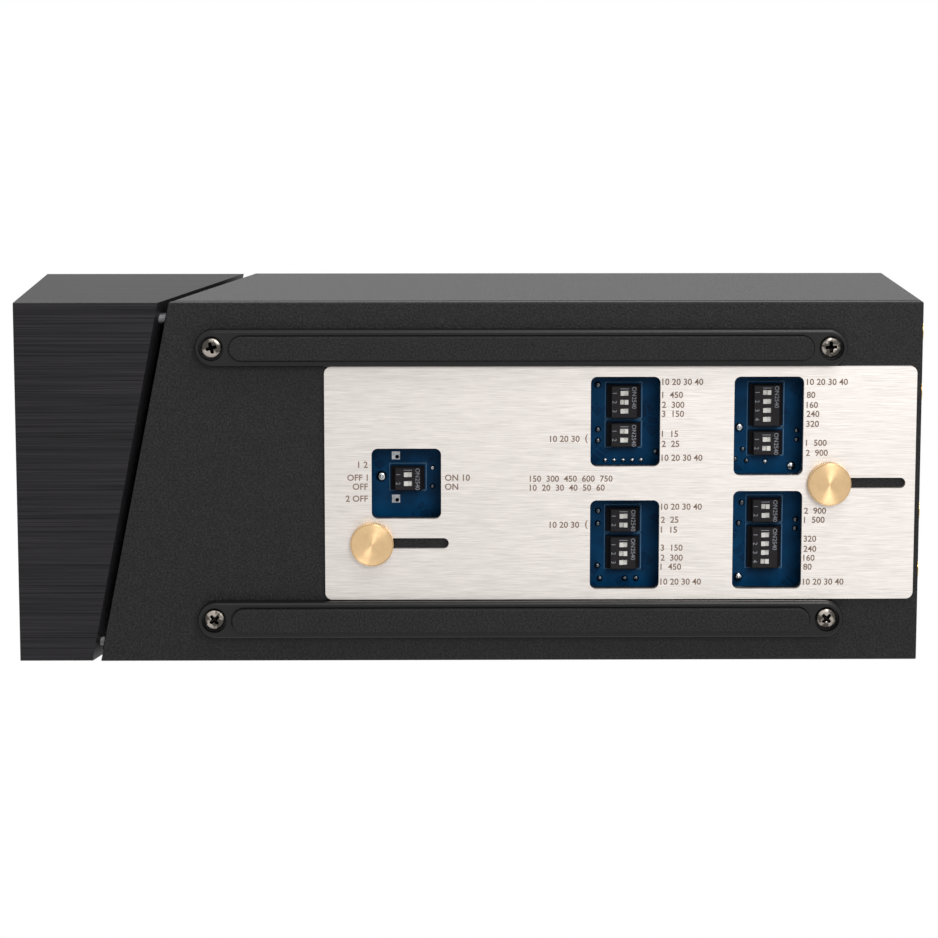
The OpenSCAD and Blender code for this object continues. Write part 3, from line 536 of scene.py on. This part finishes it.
class Finish(Enum):
    """Every finish on the preamp."""

    COAT = PowderCoat()
    SHADE = Moulded("bulkhead_black", (0.0035, 0.0035, 0.0038), 0.75, 0.05, 0.4 * MM, 0.02 * MM, 0.3)
    BLOCK = BrushedMetal("block_anodised", (0.0165, 0.0152, 0.0169), 0.4, stroke=0.22 * MM,
                         length=60 * MM, contrast=1.0, broad=0.05, metallic=0.0, specular=0.15)
    PLATE = BrushedMetal("plate_brushed", from_hex("cec8c3"), 0.4, stroke=0.12 * MM,
                         length=7 * MM, contrast=0.17, broad=0.1, metallic=0.75)
    BRASS = TurnedMetal("turned_brass", from_hex("dab98c"), 0.31)
    BUTTON = TurnedMetal("turned_button", from_hex("5b595c"), 0.3, axis="Y")
    NICKEL = PlatedMetal("nickel", from_hex("857f78"), 0.3, 0.5)
    ZINC = PlatedMetal("zinc_steel", from_hex("6f6f71"), 0.4)
    SOLDER = PlatedMetal("solder", from_hex("b4b8bc"), 0.18, 0.2, 0.008 * MM)
    # The screw heads' tone carries painted reflections, and painted shade in the cross recess.
    SCREW = ScrewPlatingPaintedLight("screw_plating_painted_light", from_hex("8f8881"))
    # Solder darkened as painted shade, standing in for the case's dark inside mirrored in the joints.
    SOLDER_SHADE = PlatedMetal("solder_painted_shade", from_hex("596067"), 0.25, 0.3, 0.008 * MM)
    TIN = PlatedMetal("tinned_copper", from_hex("9a9da0"), 0.22, 0.35, 0.12 * MM)
    GOLD = PlatedMetal("gold_plate", from_hex("d8b469"), 0.2, 0.06)
    # Gold-brown contact legs, darkened as painted shade of the recess they sit in.
    LEG_SHADE = PlatedMetal("leg_painted_shade", from_hex("4a4034"), 0.45, 0.3)
    RAIL = Moulded("rail_satin", (0.0035, 0.0033, 0.0034), 0.3, 0.3, 0.3 * MM, 0.01 * MM, 0.3)
    RUBBER = Moulded("pad_rubber", (0.020, 0.020, 0.020), 0.62, 0.12, 0.5 * MM, 0.05 * MM, 0.7)
    SWITCH = Moulded("switch_plastic", (0.0125, 0.011, 0.0125), 0.45, 0.15, 0.3 * MM, 0.01 * MM, 0.3)
    LEVER = Moulded("lever_plastic", (0.72, 0.70, 0.665), 0.4, 0.3, 0.3 * MM, 0.004 * MM, 0.04)
    SLEEVE = Moulded("capacitor_sleeve", (0.02, 0.04, 0.11), 0.3, 0.5, 0.5 * MM, 0.004 * MM, 0.05)
    RELAY = Moulded("relay_case", (0.72, 0.72, 0.68), 0.4, 0.4, 0.5 * MM, 0.006 * MM, 0.05)
    INLET = Moulded("inlet_plastic", (0.012, 0.012, 0.013), 0.4, 0.4, 0.3 * MM, 0.006 * MM)
    MASK = SolderMask()
    LENS = Lens()
    CHANNEL = ChannelColour()
    LEGEND = Moulded("legend_ink", from_hex("8a766a"), 0.6, 0.1, 0.5 * MM, 0.001 * MM, 0.06)
    SILK = Moulded("silk_ink", from_hex("5d82a2"), 0.6, 0.1, 0.3 * MM, 0.001 * MM, 0.2)
    MARK = Moulded("switch_mark", from_hex("8f9299"), 0.6, 0.1, 0.3 * MM, 0.001 * MM, 0.2)
    # Flat black discs of painted shade, where the inside of a hole lies in shade.
    HOLE_SHADE = Moulded("hole_painted_shade", (0.002, 0.002, 0.003), 0.8, 0.05, 0.5 * MM, 0.001 * MM)


class Finishes:
    """Builds each finish once and keeps it."""

    def __init__(self) -> None:
        """Starts with nothing built."""
        self.built: dict[Finish, Material] = {}

    def __getitem__(self, finish: Finish) -> Material:
        """Returns the material of a finish, which is built on its first use."""
        if finish not in self.built:
            self.built[finish] = finish.value.build()
        return self.built[finish]


# Mesh tools


def placed(name: str, data: bpy.types.ID) -> Object:
    """Returns a new object of some data, put into the scene."""
    thing = bpy.data.objects.new(name, data)
    bpy.context.scene.collection.objects.link(thing)
    return thing


@dataclass
class Maker:
    """Base of every sub-assembly that adds pieces to a CAD body.

    Attributes:
        frame: The loaded frame.
        finishes: The finishes built so far.
    """

    frame: dict
    finishes: Finishes

    def piece(self, name: str, parts: Sequence[Solid], finish: Finish, slot: str, body: str = "case",
              smooth: bool = False) -> Object:
        """Makes one mesh object from several solids and hangs it on a body.

        Args:
            name: The piece's name.
            parts: Points in metres and faces of each solid, outwards by the right-hand rule.
            finish: What it wears.
            slot: The record's material slot that it stands for; not used.
            body: The CAD body that it moves with.
            smooth: Whether it is shaded smooth.

        Returns:
            The new object.
        """
        points, faces = joined(parts)
        mesh = bpy.data.meshes.new(name)
        mesh.from_pydata(points.tolist(), [], faces)
        mesh.validate()
        mesh.update()
        mesh.materials.append(self.finishes[finish])
        mesh.polygons.foreach_set("use_smooth", [smooth] * len(mesh.polygons))
        piece = placed(name, mesh)
        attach(piece, body)
        return piece


def joined(parts: Sequence[Solid]) -> Solid:
    """Stacks several point and face lists into one."""
    starts = np.cumsum([0] + [len(points) for points, _ in parts])
    faces = [[int(start) + i for i in face] for start, (_, part) in zip(starts, parts) for face in part]
    return np.vstack([points for points, _ in parts]), faces


def revolved(radius: Sequence[float], height: Sequence[float], sides: int) -> Solid:
    """Revolves a profile about a vertical axis that points down: x = r cos a, y = -r sin a, z = -h.

    Args:
        radius: Radii of the profile from its outer rim to zero on the axis.
        height: Heights of the profile, measured down from the seat.
        sides: Number of steps round the axis.

    Returns:
        Rings of points and one last point on the axis, with the faces between them.
    """
    rings = len(radius) - 1
    angle = np.linspace(0, 2 * math.pi, sides, endpoint=False)
    r, z = np.asarray(radius, float)[:-1, None], -np.asarray(height, float)
    body = np.stack([r * np.cos(angle), -r * np.sin(angle), np.repeat(z[:-1, None], sides, axis=1)], axis=-1)
    points = np.vstack([body.reshape(-1, 3), [[0, 0, z[-1]]]])
    step, last = np.arange(sides), (rings - 1) * sides
    k, a = (grid.ravel() for grid in np.meshgrid(np.arange(rings - 1), step, indexing="ij"))
    b = (a + 1) % sides
    quads = np.stack([k * sides + a, k * sides + b, (k + 1) * sides + b, (k + 1) * sides + a], axis=1)
    fan = np.stack([last + step, last + (step + 1) % sides, np.full(sides, len(points) - 1)], axis=1)
    return points, quads.tolist() + fan.tolist()


def moved(solid: Solid, at: Sequence[float]) -> Solid:
    """Returns a solid moved by a vector."""
    return solid[0] + np.asarray(at, float), solid[1]


def loose_boxes(node: Object) -> list[tuple[Points, Points]]:
    """Finds the lowest and highest corner of each separate solid in a node.

    Points at one place share a number, and every edge hands on the lower number of its two ends until
    nothing changes, so that each solid is left with one number.

    Args:
        node: A CAD node.

    Returns:
        A pair of corners for each solid.
    """
    points = np.empty(3 * len(node.data.vertices))
    node.data.vertices.foreach_get("co", points)
    turn = np.array(node.matrix_world)
    points = points.reshape(-1, 3) @ turn[:3, :3].T + turn[:3, 3]
    edges = np.empty(2 * len(node.data.edges), int)
    node.data.edges.foreach_get("vertices", edges)
    places = np.round(points / SAME_PLACE).astype(int)
    same = np.unique(places, axis=0, return_inverse=True)[1].reshape(-1)
    ends = same[edges.reshape(-1, 2)]
    label, lower = np.full(same.max() + 1, -1), np.arange(same.max() + 1)
    while (label != lower).any():
        label = lower.copy()
        np.minimum.at(lower, ends[:, 0], label[ends[:, 1]])
        np.minimum.at(lower, ends[:, 1], label[ends[:, 0]])
    owner = label[same]
    return [(points[owner == k].min(axis=0), points[owner == k].max(axis=0)) for k in np.unique(owner)]


class Reading(Enum):
    """Which way a mark under the case reads: its own right and up, in the part's axes."""

    ALONG = ((0.0, 1.0, 0.0), (1.0, 0.0, 0.0))
    ACROSS = ((-1.0, 0.0, 0.0), (0.0, 1.0, 0.0))


class Align(Enum):
    """Where a word stands on its place, as a share of its length."""

    LEFT = 0.0
    CENTRE = 0.5
    RIGHT = 1.0


def laid(flat: Solid, at: Sequence[float], reading: Reading) -> Solid:
    """Lays flat faces under the case, facing down.

    Args:
        flat: Points and faces in their own XY plane.
        at: Where their origin goes.
        reading: Which way they read.

    Returns:
        The placed points and the same faces.
    """
    right, up = (np.array(axis) for axis in reading.value)
    return flat[0][:, 0:1] * right + flat[0][:, 1:2] * up + np.asarray(at, float), flat[1]


def stroke(a: Sequence[float], b: Sequence[float], width: float) -> Solid:
    """Returns a flat bar of some width from a to b, in its own XY plane."""
    start, end = np.array([*a, 0.0]), np.array([*b, 0.0])
    along = (end - start) / np.linalg.norm(end - start)
    side = np.array([-along[1], along[0], 0.0]) * width / 2
    return np.array([start - side, end - side, end + side, start + side]), [[0, 1, 2, 3]]


def disc(centre: Sequence[float], radius: float, sides: int = 24) -> Solid:
    """Returns a flat round face in its own XY plane."""
    angle = np.linspace(0, 2 * math.pi, sides, endpoint=False)
    x, y = centre[0] + radius * np.cos(angle), centre[1] + radius * np.sin(angle)
    return np.stack([x, y, 0 * angle], axis=1), [list(range(sides))]


def word(text: str, height: float, align: Align = Align.CENTRE, bold: float = 0.0) -> Solid:
    """Returns a word as flat faces in its own XY plane, centred on its height.

    Args:
        text: What it says.
        height: Height of its figures in metres.
        align: Which point of its length is the origin.
        bold: How much each stroke grows on each side, as a share of the letter size.

    Returns:
        Its points and faces.
    """
    curve = bpy.data.curves.new("word", "FONT")
    curve.body = text
    curve.resolution_u = LETTER_STEPS
    curve.offset = bold
    shown = placed("word", curve)
    bpy.context.view_layer.update()
    mesh = bpy.data.meshes.new_from_object(shown.evaluated_get(bpy.context.evaluated_depsgraph_get()))
    points = np.empty(3 * len(mesh.vertices))
    mesh.vertices.foreach_get("co", points)
    faces = [list(p.vertices) for p in mesh.polygons]
    bpy.data.objects.remove(shown)
    bpy.data.meshes.remove(mesh)
    bpy.data.curves.remove(curve)
    points = points.reshape(-1, 3)
    low, high = points.min(axis=0), points.max(axis=0)
    origin = low + (high - low) * (align.value, 0.5, 0.0)
    return (points - origin) * height / (high[1] - low[1]), faces


# Stage


@dataclass(frozen=True)
class Lamp:
    """One square lamp that faces the object: its direction, its side and its power in watts."""

    name: str
    towards: Place
    side: float
    power: float


@dataclass
class Studio:
    """Camera, world, lamps and floor.

    Attributes:
        camera_turn: Turns about X, Y and Z, in degrees.
        lens: Focal length, in millimetres like the sensor's width.
        white: Strength of the world that is seen.
        fill: Strength of the world that lights matt faces.
        lamp_range: Distance of each lamp from the origin.
        floor_tone: Part of the floor's white that is lit; the rest glows.
    """

    camera_at: Place = (145.379 * MM, -15.65 * MM, -885.976 * MM)
    camera_turn: Place = (170.9899, 0.7581, 89.9799)
    lens: float = 123.365
    sensor: float = 36.0
    clip: float = 30.0
    white: float = 1.0
    fill: float = 0.48
    lamp_range: float = 1.4
    lamps: tuple[Lamp, ...] = (
        Lamp("lamp_low", (0.44, 0.27, -1.0), 0.5, 7.0),
        Lamp("lamp_side", (1.0, 0.3, -0.5), 0.5, 8.0),
        Lamp("lamp_high", (-0.5, -0.5, 1.0), 1.3, 11.0),
    )
    floor_half: float = 6.0
    floor_tone: float = 0.55

    def build(self) -> None:
        """Sets the camera, the light and the floor."""
        self.set_camera()
        self.set_world()
        self.set_lamps()
        self.set_floor()

    def set_camera(self) -> None:
        """Puts the camera under the case, a little to the right of its middle, looking up."""
        data = bpy.data.cameras.new("camera")
        data.lens = self.lens
        data.sensor_width = self.sensor
        data.clip_end = self.clip
        camera = placed("camera", data)
        camera.location = self.camera_at
        camera.rotation_euler = Euler([math.radians(a) for a in self.camera_turn], "XYZ")
        bpy.context.scene.camera = camera

    def set_world(self) -> None:
        """Makes the world white to the camera and in reflections, and a softer fill elsewhere."""
        world = bpy.data.worlds.new("studio")
        bpy.context.scene.world = world
        world.use_nodes = True
        tree = world.node_tree
        path = tree.nodes.new("ShaderNodeLightPath")
        seen = path.outputs["Is Camera Ray"]
        for name in ("Is Glossy Ray", "Is Transmission Ray"):
            either = tree.nodes.new("ShaderNodeMath")
            either.operation = "MAXIMUM"
            tree.links.new(seen, either.inputs[0])
            tree.links.new(path.outputs[name], either.inputs[1])
            seen = either.outputs[0]
        level = tree.nodes.new("ShaderNodeMapRange")
        level.inputs["To Min"].default_value = self.fill
        level.inputs["To Max"].default_value = self.white
        tree.links.new(seen, level.inputs["Value"])
        background = tree.nodes["Background"]
        background.inputs["Color"].default_value = (1, 1, 1, 1)
        tree.links.new(level.outputs["Result"], background.inputs["Strength"])

    def set_lamps(self) -> None:
        """Hangs the lamps: one below, one at the right-hand side and a broad one above."""
        for lamp in self.lamps:
            data = bpy.data.lights.new(lamp.name, "AREA")
            data.shape = "SQUARE"
            data.size = lamp.side
            data.energy = lamp.power
            hung = placed(lamp.name, data)
            direction = Vector(lamp.towards).normalized()
            hung.location = direction * self.lamp_range
            hung.rotation_euler = direction.to_track_quat("Z", "Y").to_euler()

    def set_floor(self) -> None:
        """Lays a pale floor that is seen from above only and shades nothing."""
        g = Graph("floor")
        pale = g.add("BsdfDiffuse", {"Color": rgba((self.floor_tone,) * 3)})
        glow = g.add("Emission", {"Color": rgba((1, 1, 1)), "Strength": 1 - self.floor_tone})
        lit = g.add("AddShader", {0: pale.outputs[0], 1: glow.outputs[0]})
        clear = g.add("BsdfTransparent")
        back = g.add("NewGeometry").outputs["Backfacing"]
        both = g.add("MixShader", {0: back, 1: lit.outputs[0], 2: clear.outputs[0]})
        g.tree.links.new(both.outputs[0], g.output.inputs["Surface"])
        mesh = bpy.data.meshes.new("floor")
        corners = np.array([[-1, -1, 0], [1, -1, 0], [1, 1, 0], [-1, 1, 0]]) * self.floor_half
        mesh.from_pydata(corners.tolist(), [], [[0, 1, 2, 3]])
        mesh.materials.append(g.material)
        floor = placed("floor", mesh)
        for ray in ("diffuse", "glossy", "transmission", "shadow"):
            setattr(floor, f"visible_{ray}", False)


# Sub-assemblies


@dataclass
class Dresser(Maker):
    """Gives the carried-over nodes their finishes, and the plate a broken edge."""

    edge: float = 0.12 * MM
    edge_steps: int = 2
    worn: dict[Finish, tuple[str, ...]] = field(default_factory=lambda: {
        Finish.BLOCK: ("front_block",),
        Finish.COAT: ("bottom_panel", "top_cover", "rear_panel"),
        Finish.SHADE: ("front_bulkhead",),
        Finish.PLATE: ("slide_plate",),
        Finish.BRASS: ("thumbscrew_front", "thumbscrew_rear"),
        Finish.RAIL: ("foot_rail_right", "foot_rail_left"),
        Finish.RUBBER: ("foot_pad_right", "foot_pad_left"),
        Finish.NICKEL: ("foot_screws", "board_standoffs"),
        Finish.ZINC: ("machine_screws", "joint_spacers"),
        Finish.MASK: ("main_board", "front_board"),
        Finish.SOLDER: ("solder_joints",),
        Finish.LEG_SHADE: ("switch_contacts",),
        Finish.GOLD: ("rca_shells", "rca_contacts", "ground_post", "ground_nut"),
        Finish.CHANNEL: ("rca_insulators",),
        Finish.SLEEVE: ("capacitors",),
        Finish.RELAY: ("relays",),
        Finish.INLET: ("dc_inlet", "power_switch"),
        Finish.BUTTON: ("power_button",),
        Finish.LENS: ("status_lens",),
    })

    def build(self) -> list[Object]:
        """Puts each finish on its nodes.

        Returns:
            No new pieces.
        """
        nodes = self.frame["nodes"]
        for finish, names in self.worn.items():
            for name in names:
                self.paint(nodes[name], finish)
        for name in nodes:
            if name.startswith("switch_bank_"):
                self.paint(nodes[name], Finish.SWITCH)
            elif name.startswith("switch_lever_"):
                self.paint(nodes[name], Finish.LEVER)
        bevel = nodes["slide_plate"].modifiers.new("broken_edge", "BEVEL")
        bevel.width = self.edge
        bevel.segments = self.edge_steps
        bevel.limit_method = "ANGLE"
        return []

    def paint(self, node: Object, finish: Finish) -> None:
        """Sets a node's only material."""
        node.data.materials.clear()
        node.data.materials.append(self.finishes[finish])


@dataclass
class SwitchMarks(Maker):
    """Print on the board and on the switch housings, seen through the windows.

    Attributes:
        housings: Levers of each housing, bank by bank.
        silk_end: How far a housing's printed frame passes its end levers.
        silk_heavy: Width of the frame's heavy side, in lines.
        silk_tick: Length of its corner bars, which are tick_heavy heavy sides wide.
        tick: Length and width of the bar beside the first lever.
    """

    housings: tuple[tuple[int, ...], ...] = ((2,), (3, 2), (2, 3), (4, 2), (2, 4))
    silk_end: float = 2.62 * MM
    silk_width: float = 10.35 * MM
    silk_line: float = 0.15 * MM
    silk_heavy: float = 1.8
    silk_tick: float = 1.1 * MM
    tick_heavy: float = 1.5
    figure: float = 1.2 * MM
    figure_y: float = -2.75 * MM
    on_y: float = 2.75 * MM
    on_x: float = 1.8 * MM
    code: str = "2540"
    code_x: float = -1.05 * MM
    tick_x: float = 1.25 * MM
    tick: Pair = (2.35 * MM, 0.2 * MM)

    def build(self) -> list[Object]:
        """Prints the board's outlines and the housings' numbers.

        Returns:
            The new pieces.
        """
        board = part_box("main_board")[0].z - LIFT
        outlines, marks = [], []
        for bank, counts in enumerate(self.housings):
            low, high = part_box(f"switch_bank_{bank + 1}")
            middle, face = (low.y + high.y) / 2, low.z - LIFT
            boxes = [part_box(f"switch_lever_{bank + 1}_{k + 1}") for k in range(sum(counts))]
            places = [(a.x + b.x) / 2 for a, b in boxes]
            starts = np.cumsum((0, *counts))
            for start, end in zip(starts[:-1], starts[1:]):
                outlines += self.outline(places[start:end], middle, board)
                marks += self.print_on(places[start:end], middle, face)
        return [self.piece("board_outlines", outlines, Finish.SILK, "board_blue"),
                self.piece("switch_marks", marks, Finish.MARK, "switch_body")]

    def outline(self, across: list[float], middle: float, height: float) -> list[Solid]:
        """Returns the frame round one housing, with a heavier line and corners on its ON side.

        Args:
            across: X of the housing's levers.
            middle: Y of its middle.
            height: Z of the print.
        """
        half = self.silk_width / 2
        top, bottom = across[0] + self.silk_end, across[-1] - self.silk_end
        line, heavy = self.silk_line, self.silk_heavy * self.silk_line
        flat = [stroke((-half, top), (half, top), line), stroke((-half, bottom), (half, bottom), line),
                stroke((-half, top), (-half, bottom), line), stroke((half, top), (half, bottom), heavy)]
        flat += [stroke((half - self.silk_tick, y), (half, y), self.tick_heavy * heavy)
                 for y in (top, bottom)]
        return [laid(s, (0, middle, height), Reading.ALONG) for s in flat]

    def print_on(self, across: list[float], middle: float, face: float) -> list[Solid]:
        """Returns the lever numbers, the tick bar and the ON side's print on one housing.

        Args:
            across: X of the housing's levers.
            middle: Y of its middle.
            face: Z of the print.
        """
        parts = [laid(word(str(k + 1), self.figure), (x, middle + self.figure_y, face), Reading.ACROSS)
                 for k, x in enumerate(across)]
        end = self.tick[0] / 2
        parts.append(laid(stroke((-end, 0), (end, 0), self.tick[1]),
                          (across[0] + self.tick_x, middle, face), Reading.ALONG))
        for text, start in (("ON", self.on_x), (self.code, self.code_x)):
            place = (across[0] + start, middle + self.on_y, face)
            parts.append(laid(word(text, self.figure, Align.LEFT), place, Reading.ACROSS))
        return parts


@dataclass
class SolderWork(Maker):
    """Solder joints as domes with cut leads, and two tinned pads whose drilled holes are black discs of
    painted shade.

    Attributes:
        bright_over: Radius over which a joint keeps the solder's colour; one under bright_under keeps it too,
            and the others are darkened as painted shade.
        lead: Radius of the lead, as a share of the joint's.
        rise: Height of the dome: a share of the joint's radius, and a length.
        bare: Least length of lead that stands out of the dome.
        bulge: The two powers of the dome's curve.
        cut: Radius of the rounding at the lead's end, as a share of the lead's.
        steps: Points of the profile on the dome and on the rounding.
        hole: X and Y of the hole from its pad's middle, and its radius.
    """

    sides: int = 48
    bright_over: float = 1.2 * MM
    bright_under: float = 0.8 * MM
    lead: float = 0.3
    rise: Pair = (0.62, 0.2 * MM)
    bare: float = 0.3 * MM
    bulge: Pair = (2.4, 0.7)
    cut: float = 0.4
    steps: tuple[int, int] = (12, 5)
    pads: tuple[Pair, ...] = ((6.6 * MM, -24.4 * MM), (-5.8 * MM, -24.4 * MM))
    pad_side: float = 2.3 * MM
    hole: Place = (0.35 * MM, -0.35 * MM, 0.55 * MM)

    def build(self) -> list[Object]:
        """Makes the joints that stand for the plain cones, and the pads beside the first switch.

        Returns:
            The new pieces.
        """
        bright, painted_dark = [], []
        for low, high in loose_boxes(self.frame["nodes"]["solder_joints"]):
            radius = (high[0] - low[0]) / 2
            seat = ((low[0] + high[0]) / 2, (low[1] + high[1]) / 2, high[2])
            # Joints of middle size get solder darkened as painted shade.
            own_colour_joint = radius > self.bright_over or radius < self.bright_under
            (bright if own_colour_joint else painted_dark).append(moved(self.joint(radius, high[2] - low[2]), seat))
        pieces = [self.piece("solder_domes", bright, Finish.SOLDER, "solder", smooth=True),
                  self.piece("solder_domes_painted_shade", painted_dark, Finish.SOLDER_SHADE, "solder", smooth=True)]
        for piece in pieces:
            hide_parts("solder_joints")
        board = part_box("main_board")[0].z
        half = self.pad_side / 2
        square = stroke((-half, 0), (half, 0), self.pad_side)
        # Each hole is a flat black disc of painted shade.
        drilled = disc(self.hole[:2], self.hole[2])
        squares = [laid(square, (x, y, board - LIFT), Reading.ALONG) for x, y in self.pads]
        holes = [laid(drilled, (x, y, board - 2 * LIFT), Reading.ALONG) for x, y in self.pads]
        return pieces + [self.piece("tinned_pads", squares, Finish.TIN, "solder"),
                         self.piece("pad_hole_shades", holes, Finish.HOLE_SHADE, "board_blue")]

    def joint(self, radius: float, drop: float) -> Solid:
        """Makes one joint as a surface of revolution about its lead.

        The dome's height falls from its top to its rim as (1 - t^p)^q, t being the share of the way out
        from the lead. The lead rises straight from the dome and ends in a small quarter round.

        Args:
            radius: Radius of the joint on the board.
            drop: How far the lead's tip stands below the board.

        Returns:
            Its points and faces.
        """
        lead, (p, q) = self.lead * radius, self.bulge
        top = min(self.rise[0] * radius + self.rise[1], drop - self.bare)
        t, turn = np.linspace(1, 0, self.steps[0]), np.linspace(0, math.pi / 2, self.steps[1])
        tip = self.cut * lead
        r = np.concatenate([lead + (radius - lead) * t, lead - tip + tip * np.cos(turn), [0]])
        h = np.concatenate([top * (1 - t ** p) ** q, drop - tip + tip * np.sin(turn), [drop]])
        return revolved(r, h, self.sides)


@dataclass
class FootScrews(Maker):
    """Pan-head screws with a pressed cross recess, in the ends of the foot rails.

    Attributes:
        turns: How far each cross is turned, in degrees, for the screws in order of their places.
        crown: Heights of the head's rim and of the dome on it, as shares of the head's.
        bulge: Power of the dome's curve.
        wing: Reach and half width of the recess.
        wing_end: Length over which a wing fades out.
        wing_side: Width of the slope across a wing, as a share of its half width.
        wing_rise: Share of its depth that a wing loses towards its end.
        core: Radius of the cone in the recess's middle.
        black: Share of the recess's depth at which its painted shade is darkest.
    """

    sides: int = 144
    rings: int = 60
    turns: tuple[float, ...] = (-40.0, -45.0, -16.0, -3.0)
    head_high: float = 1.9 * MM
    crown: Pair = (0.72, 0.28)
    bulge: float = 3.4
    wing: Pair = (1.6 * MM, 0.48 * MM)
    wing_end: float = 0.3 * MM
    wing_side: float = 0.8
    wing_rise: float = 0.35
    core: float = 0.8 * MM
    core_steep: float = 1.4
    recess: float = 1.3 * MM
    black: float = 0.3
    shank: float = 1.22 * MM
    shank_sides: int = 32

    def build(self) -> list[Object]:
        """Makes the heads and shanks that stand for the plain screws.

        Returns:
            The new piece.
        """
        parts, painted_recess_shade = [], []
        boxes = loose_boxes(self.frame["nodes"]["foot_screws"])
        boxes.sort(key=lambda box: (box[0][0] > 0, box[0][1]))
        for (low, high), turn in zip(boxes, self.turns):
            seat = ((low[0] + high[0]) / 2, (low[1] + high[1]) / 2, low[2] + self.head_high)
            head, depth = self.head((high[0] - low[0]) / 2, math.radians(turn))
            rod = revolved([self.shank, self.shank, 0], [seat[2] - high[2], 0, 0], self.shank_sides)
            parts += [moved(head, seat), moved(rod, seat)]
            # Painted shade: how dark each point of the recess is painted, nothing on the shank.
            painted_recess_shade += [np.clip(depth / (self.black * self.recess), 0, 1), np.zeros(len(rod[0]))]
        piece = self.piece("foot_screw_heads", parts, Finish.SCREW, "screw_nickel", smooth=True)
        values = piece.data.attributes.new("recess", "FLOAT", "POINT").data
        values.foreach_set("value", np.concatenate(painted_recess_shade))
        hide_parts("foot_screws")
        return [piece]

    def head(self, radius: float, turn: float) -> tuple[Solid, Points]:
        """Makes a domed head as heights over a polar grid.

        The height at r is rim + dome sqrt(1 - (r / R)^p) of the head's own, less the recess. Each wing of
        the recess is the product of a soft step along it and a V across it, and its floor rises outwards.
        A cone in the middle joins the wings.

        Args:
            radius: The head's radius.
            turn: How far its cross is turned, in radians.

        Returns:
            Its points and faces, and the recess's depth at each point.
        """
        r = radius * np.sin(np.linspace(math.pi / 2, 0, self.rings))
        rim, dome = self.crown
        h = self.head_high * (rim + dome * np.sqrt(np.clip(1 - (r / radius) ** self.bulge, 0, 1)))
        points, faces = revolved(np.concatenate([[radius], r]), np.concatenate([[0], h]), self.sides)
        across = np.abs(points[:, 0] * math.cos(turn) + points[:, 1] * math.sin(turn))
        along = np.abs(points[:, 1] * math.cos(turn) - points[:, 0] * math.sin(turn))
        cone = self.recess * np.clip(self.core_steep * (1 - np.hypot(across, along) / self.core), 0, 1)
        depth = np.maximum.reduce([self.wing_depth(across, along), self.wing_depth(along, across), cone])
        depth = np.where(points[:, 2] < 0, depth, 0)
        points[:, 2] += depth
        return (points, faces), depth

    def wing_depth(self, along: Points, across: Points) -> Points:
        """Returns one wing's depth at distances along it and across it."""
        reach, half = self.wing
        ends = np.clip((reach - along) / self.wing_end, 0, 1)
        sides = np.clip((half - across) / (self.wing_side * half), 0, 1)
        return self.recess * ends * sides * (1 - self.wing_rise * along / reach)


@dataclass(frozen=True)
class Label:
    """One printed line on the plate: where it stands along and across the case, in millimetres."""

    text: str
    along: float
    across: float
    align: Align = Align.LEFT
    height: float = 1.83


@dataclass
class PlateLegend(Maker):
    """Plain numbers beside the windows of the sliding plate."""

    bold: float = 0.018
    labels: tuple[Label, ...] = (
        Label("1 2", -32.2, 5.46, Align.RIGHT), Label("OFF 1", -32.2, 1.77, Align.RIGHT),
        Label("OFF", -32.2, -0.78, Align.RIGHT), Label("2 OFF", -32.2, -4.19, Align.RIGHT),
        Label("ON 10", -10.6, 1.73), Label("ON", -10.6, -0.83),
        Label("10 20 30 40", 50.2, 28.75), Label("1  450", 50.2, 25.09), Label("2  300", 50.2, 22.27),
        Label("3  150", 50.2, 19.73), Label("1  15", 50.2, 14.07), Label("2  25", 50.2, 11.24),
        Label("10 20 30 40", 50.2, 7.28), Label("10 20 30", 27.2, 12.70, Align.RIGHT),
        Label("(", 29.5, 12.70, Align.RIGHT, 2.5),
        Label("150  300  450  600  750", 13.25, 1.39), Label("10  20  30  40  50  60", 13.25, -1.16),
        Label("10 20 30 40", 50.2, -6.65), Label("2  25", 50.2, -10.36), Label("1  15", 50.2, -13.21),
        Label("3  150", 50.2, -18.36), Label("2  300", 50.2, -21.22), Label("1  450", 50.2, -23.80),
        Label("10 20 30 40", 50.2, -28.10), Label("10 20 30", 27.2, -11.74, Align.RIGHT),
        Label("(", 29.6, -11.74, Align.RIGHT, 2.5),
        Label("10 20 30 40", 90.7, 28.68), Label("80", 90.7, 25.02), Label("160", 90.7, 22.20),
        Label("240", 90.7, 19.65), Label("320", 90.7, 16.83),
        Label("1  500", 90.7, 11.45), Label("2  900", 90.7, 8.61),
        Label("2  900", 90.5, -7.88), Label("1  500", 90.5, -10.45), Label("320", 90.5, -15.88),
        Label("240", 90.5, -18.74), Label("160", 90.5, -21.32), Label("80", 90.5, -23.90),
        Label("10 20 30 40", 90.5, -28.20),
    )

    def build(self) -> list[Object]:
        """Prints every label on the plate's lower face.

        Returns:
            The new piece.
        """
        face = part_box("slide_plate")[0].z - LIFT
        parts = [laid(word(label.text, label.height * MM, label.align, self.bold),
                      (label.across * MM, label.along * MM, face), Reading.ALONG) for label in self.labels]
        return [self.piece("plate_legend", parts, Finish.LEGEND, "plate_brushed", "cover_plate")]


# The whole object


def main() -> None:
    """Builds the scene in order and reports each piece."""
    logging.basicConfig(level=logging.INFO, format="%(name)s: %(message)s")
    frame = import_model()
    bpy.context.scene.view_settings.view_transform = "Standard"
    finishes = Finishes()
    Studio().build()
    for maker in (Dresser, SwitchMarks, SolderWork, FootScrews, PlateLegend):
        for piece in maker(frame, finishes).build():
            LOG.info("%s: %s with %d faces", maker.__name__, piece.name, len(piece.data.polygons))


if __name__ == "__main__":
    main()
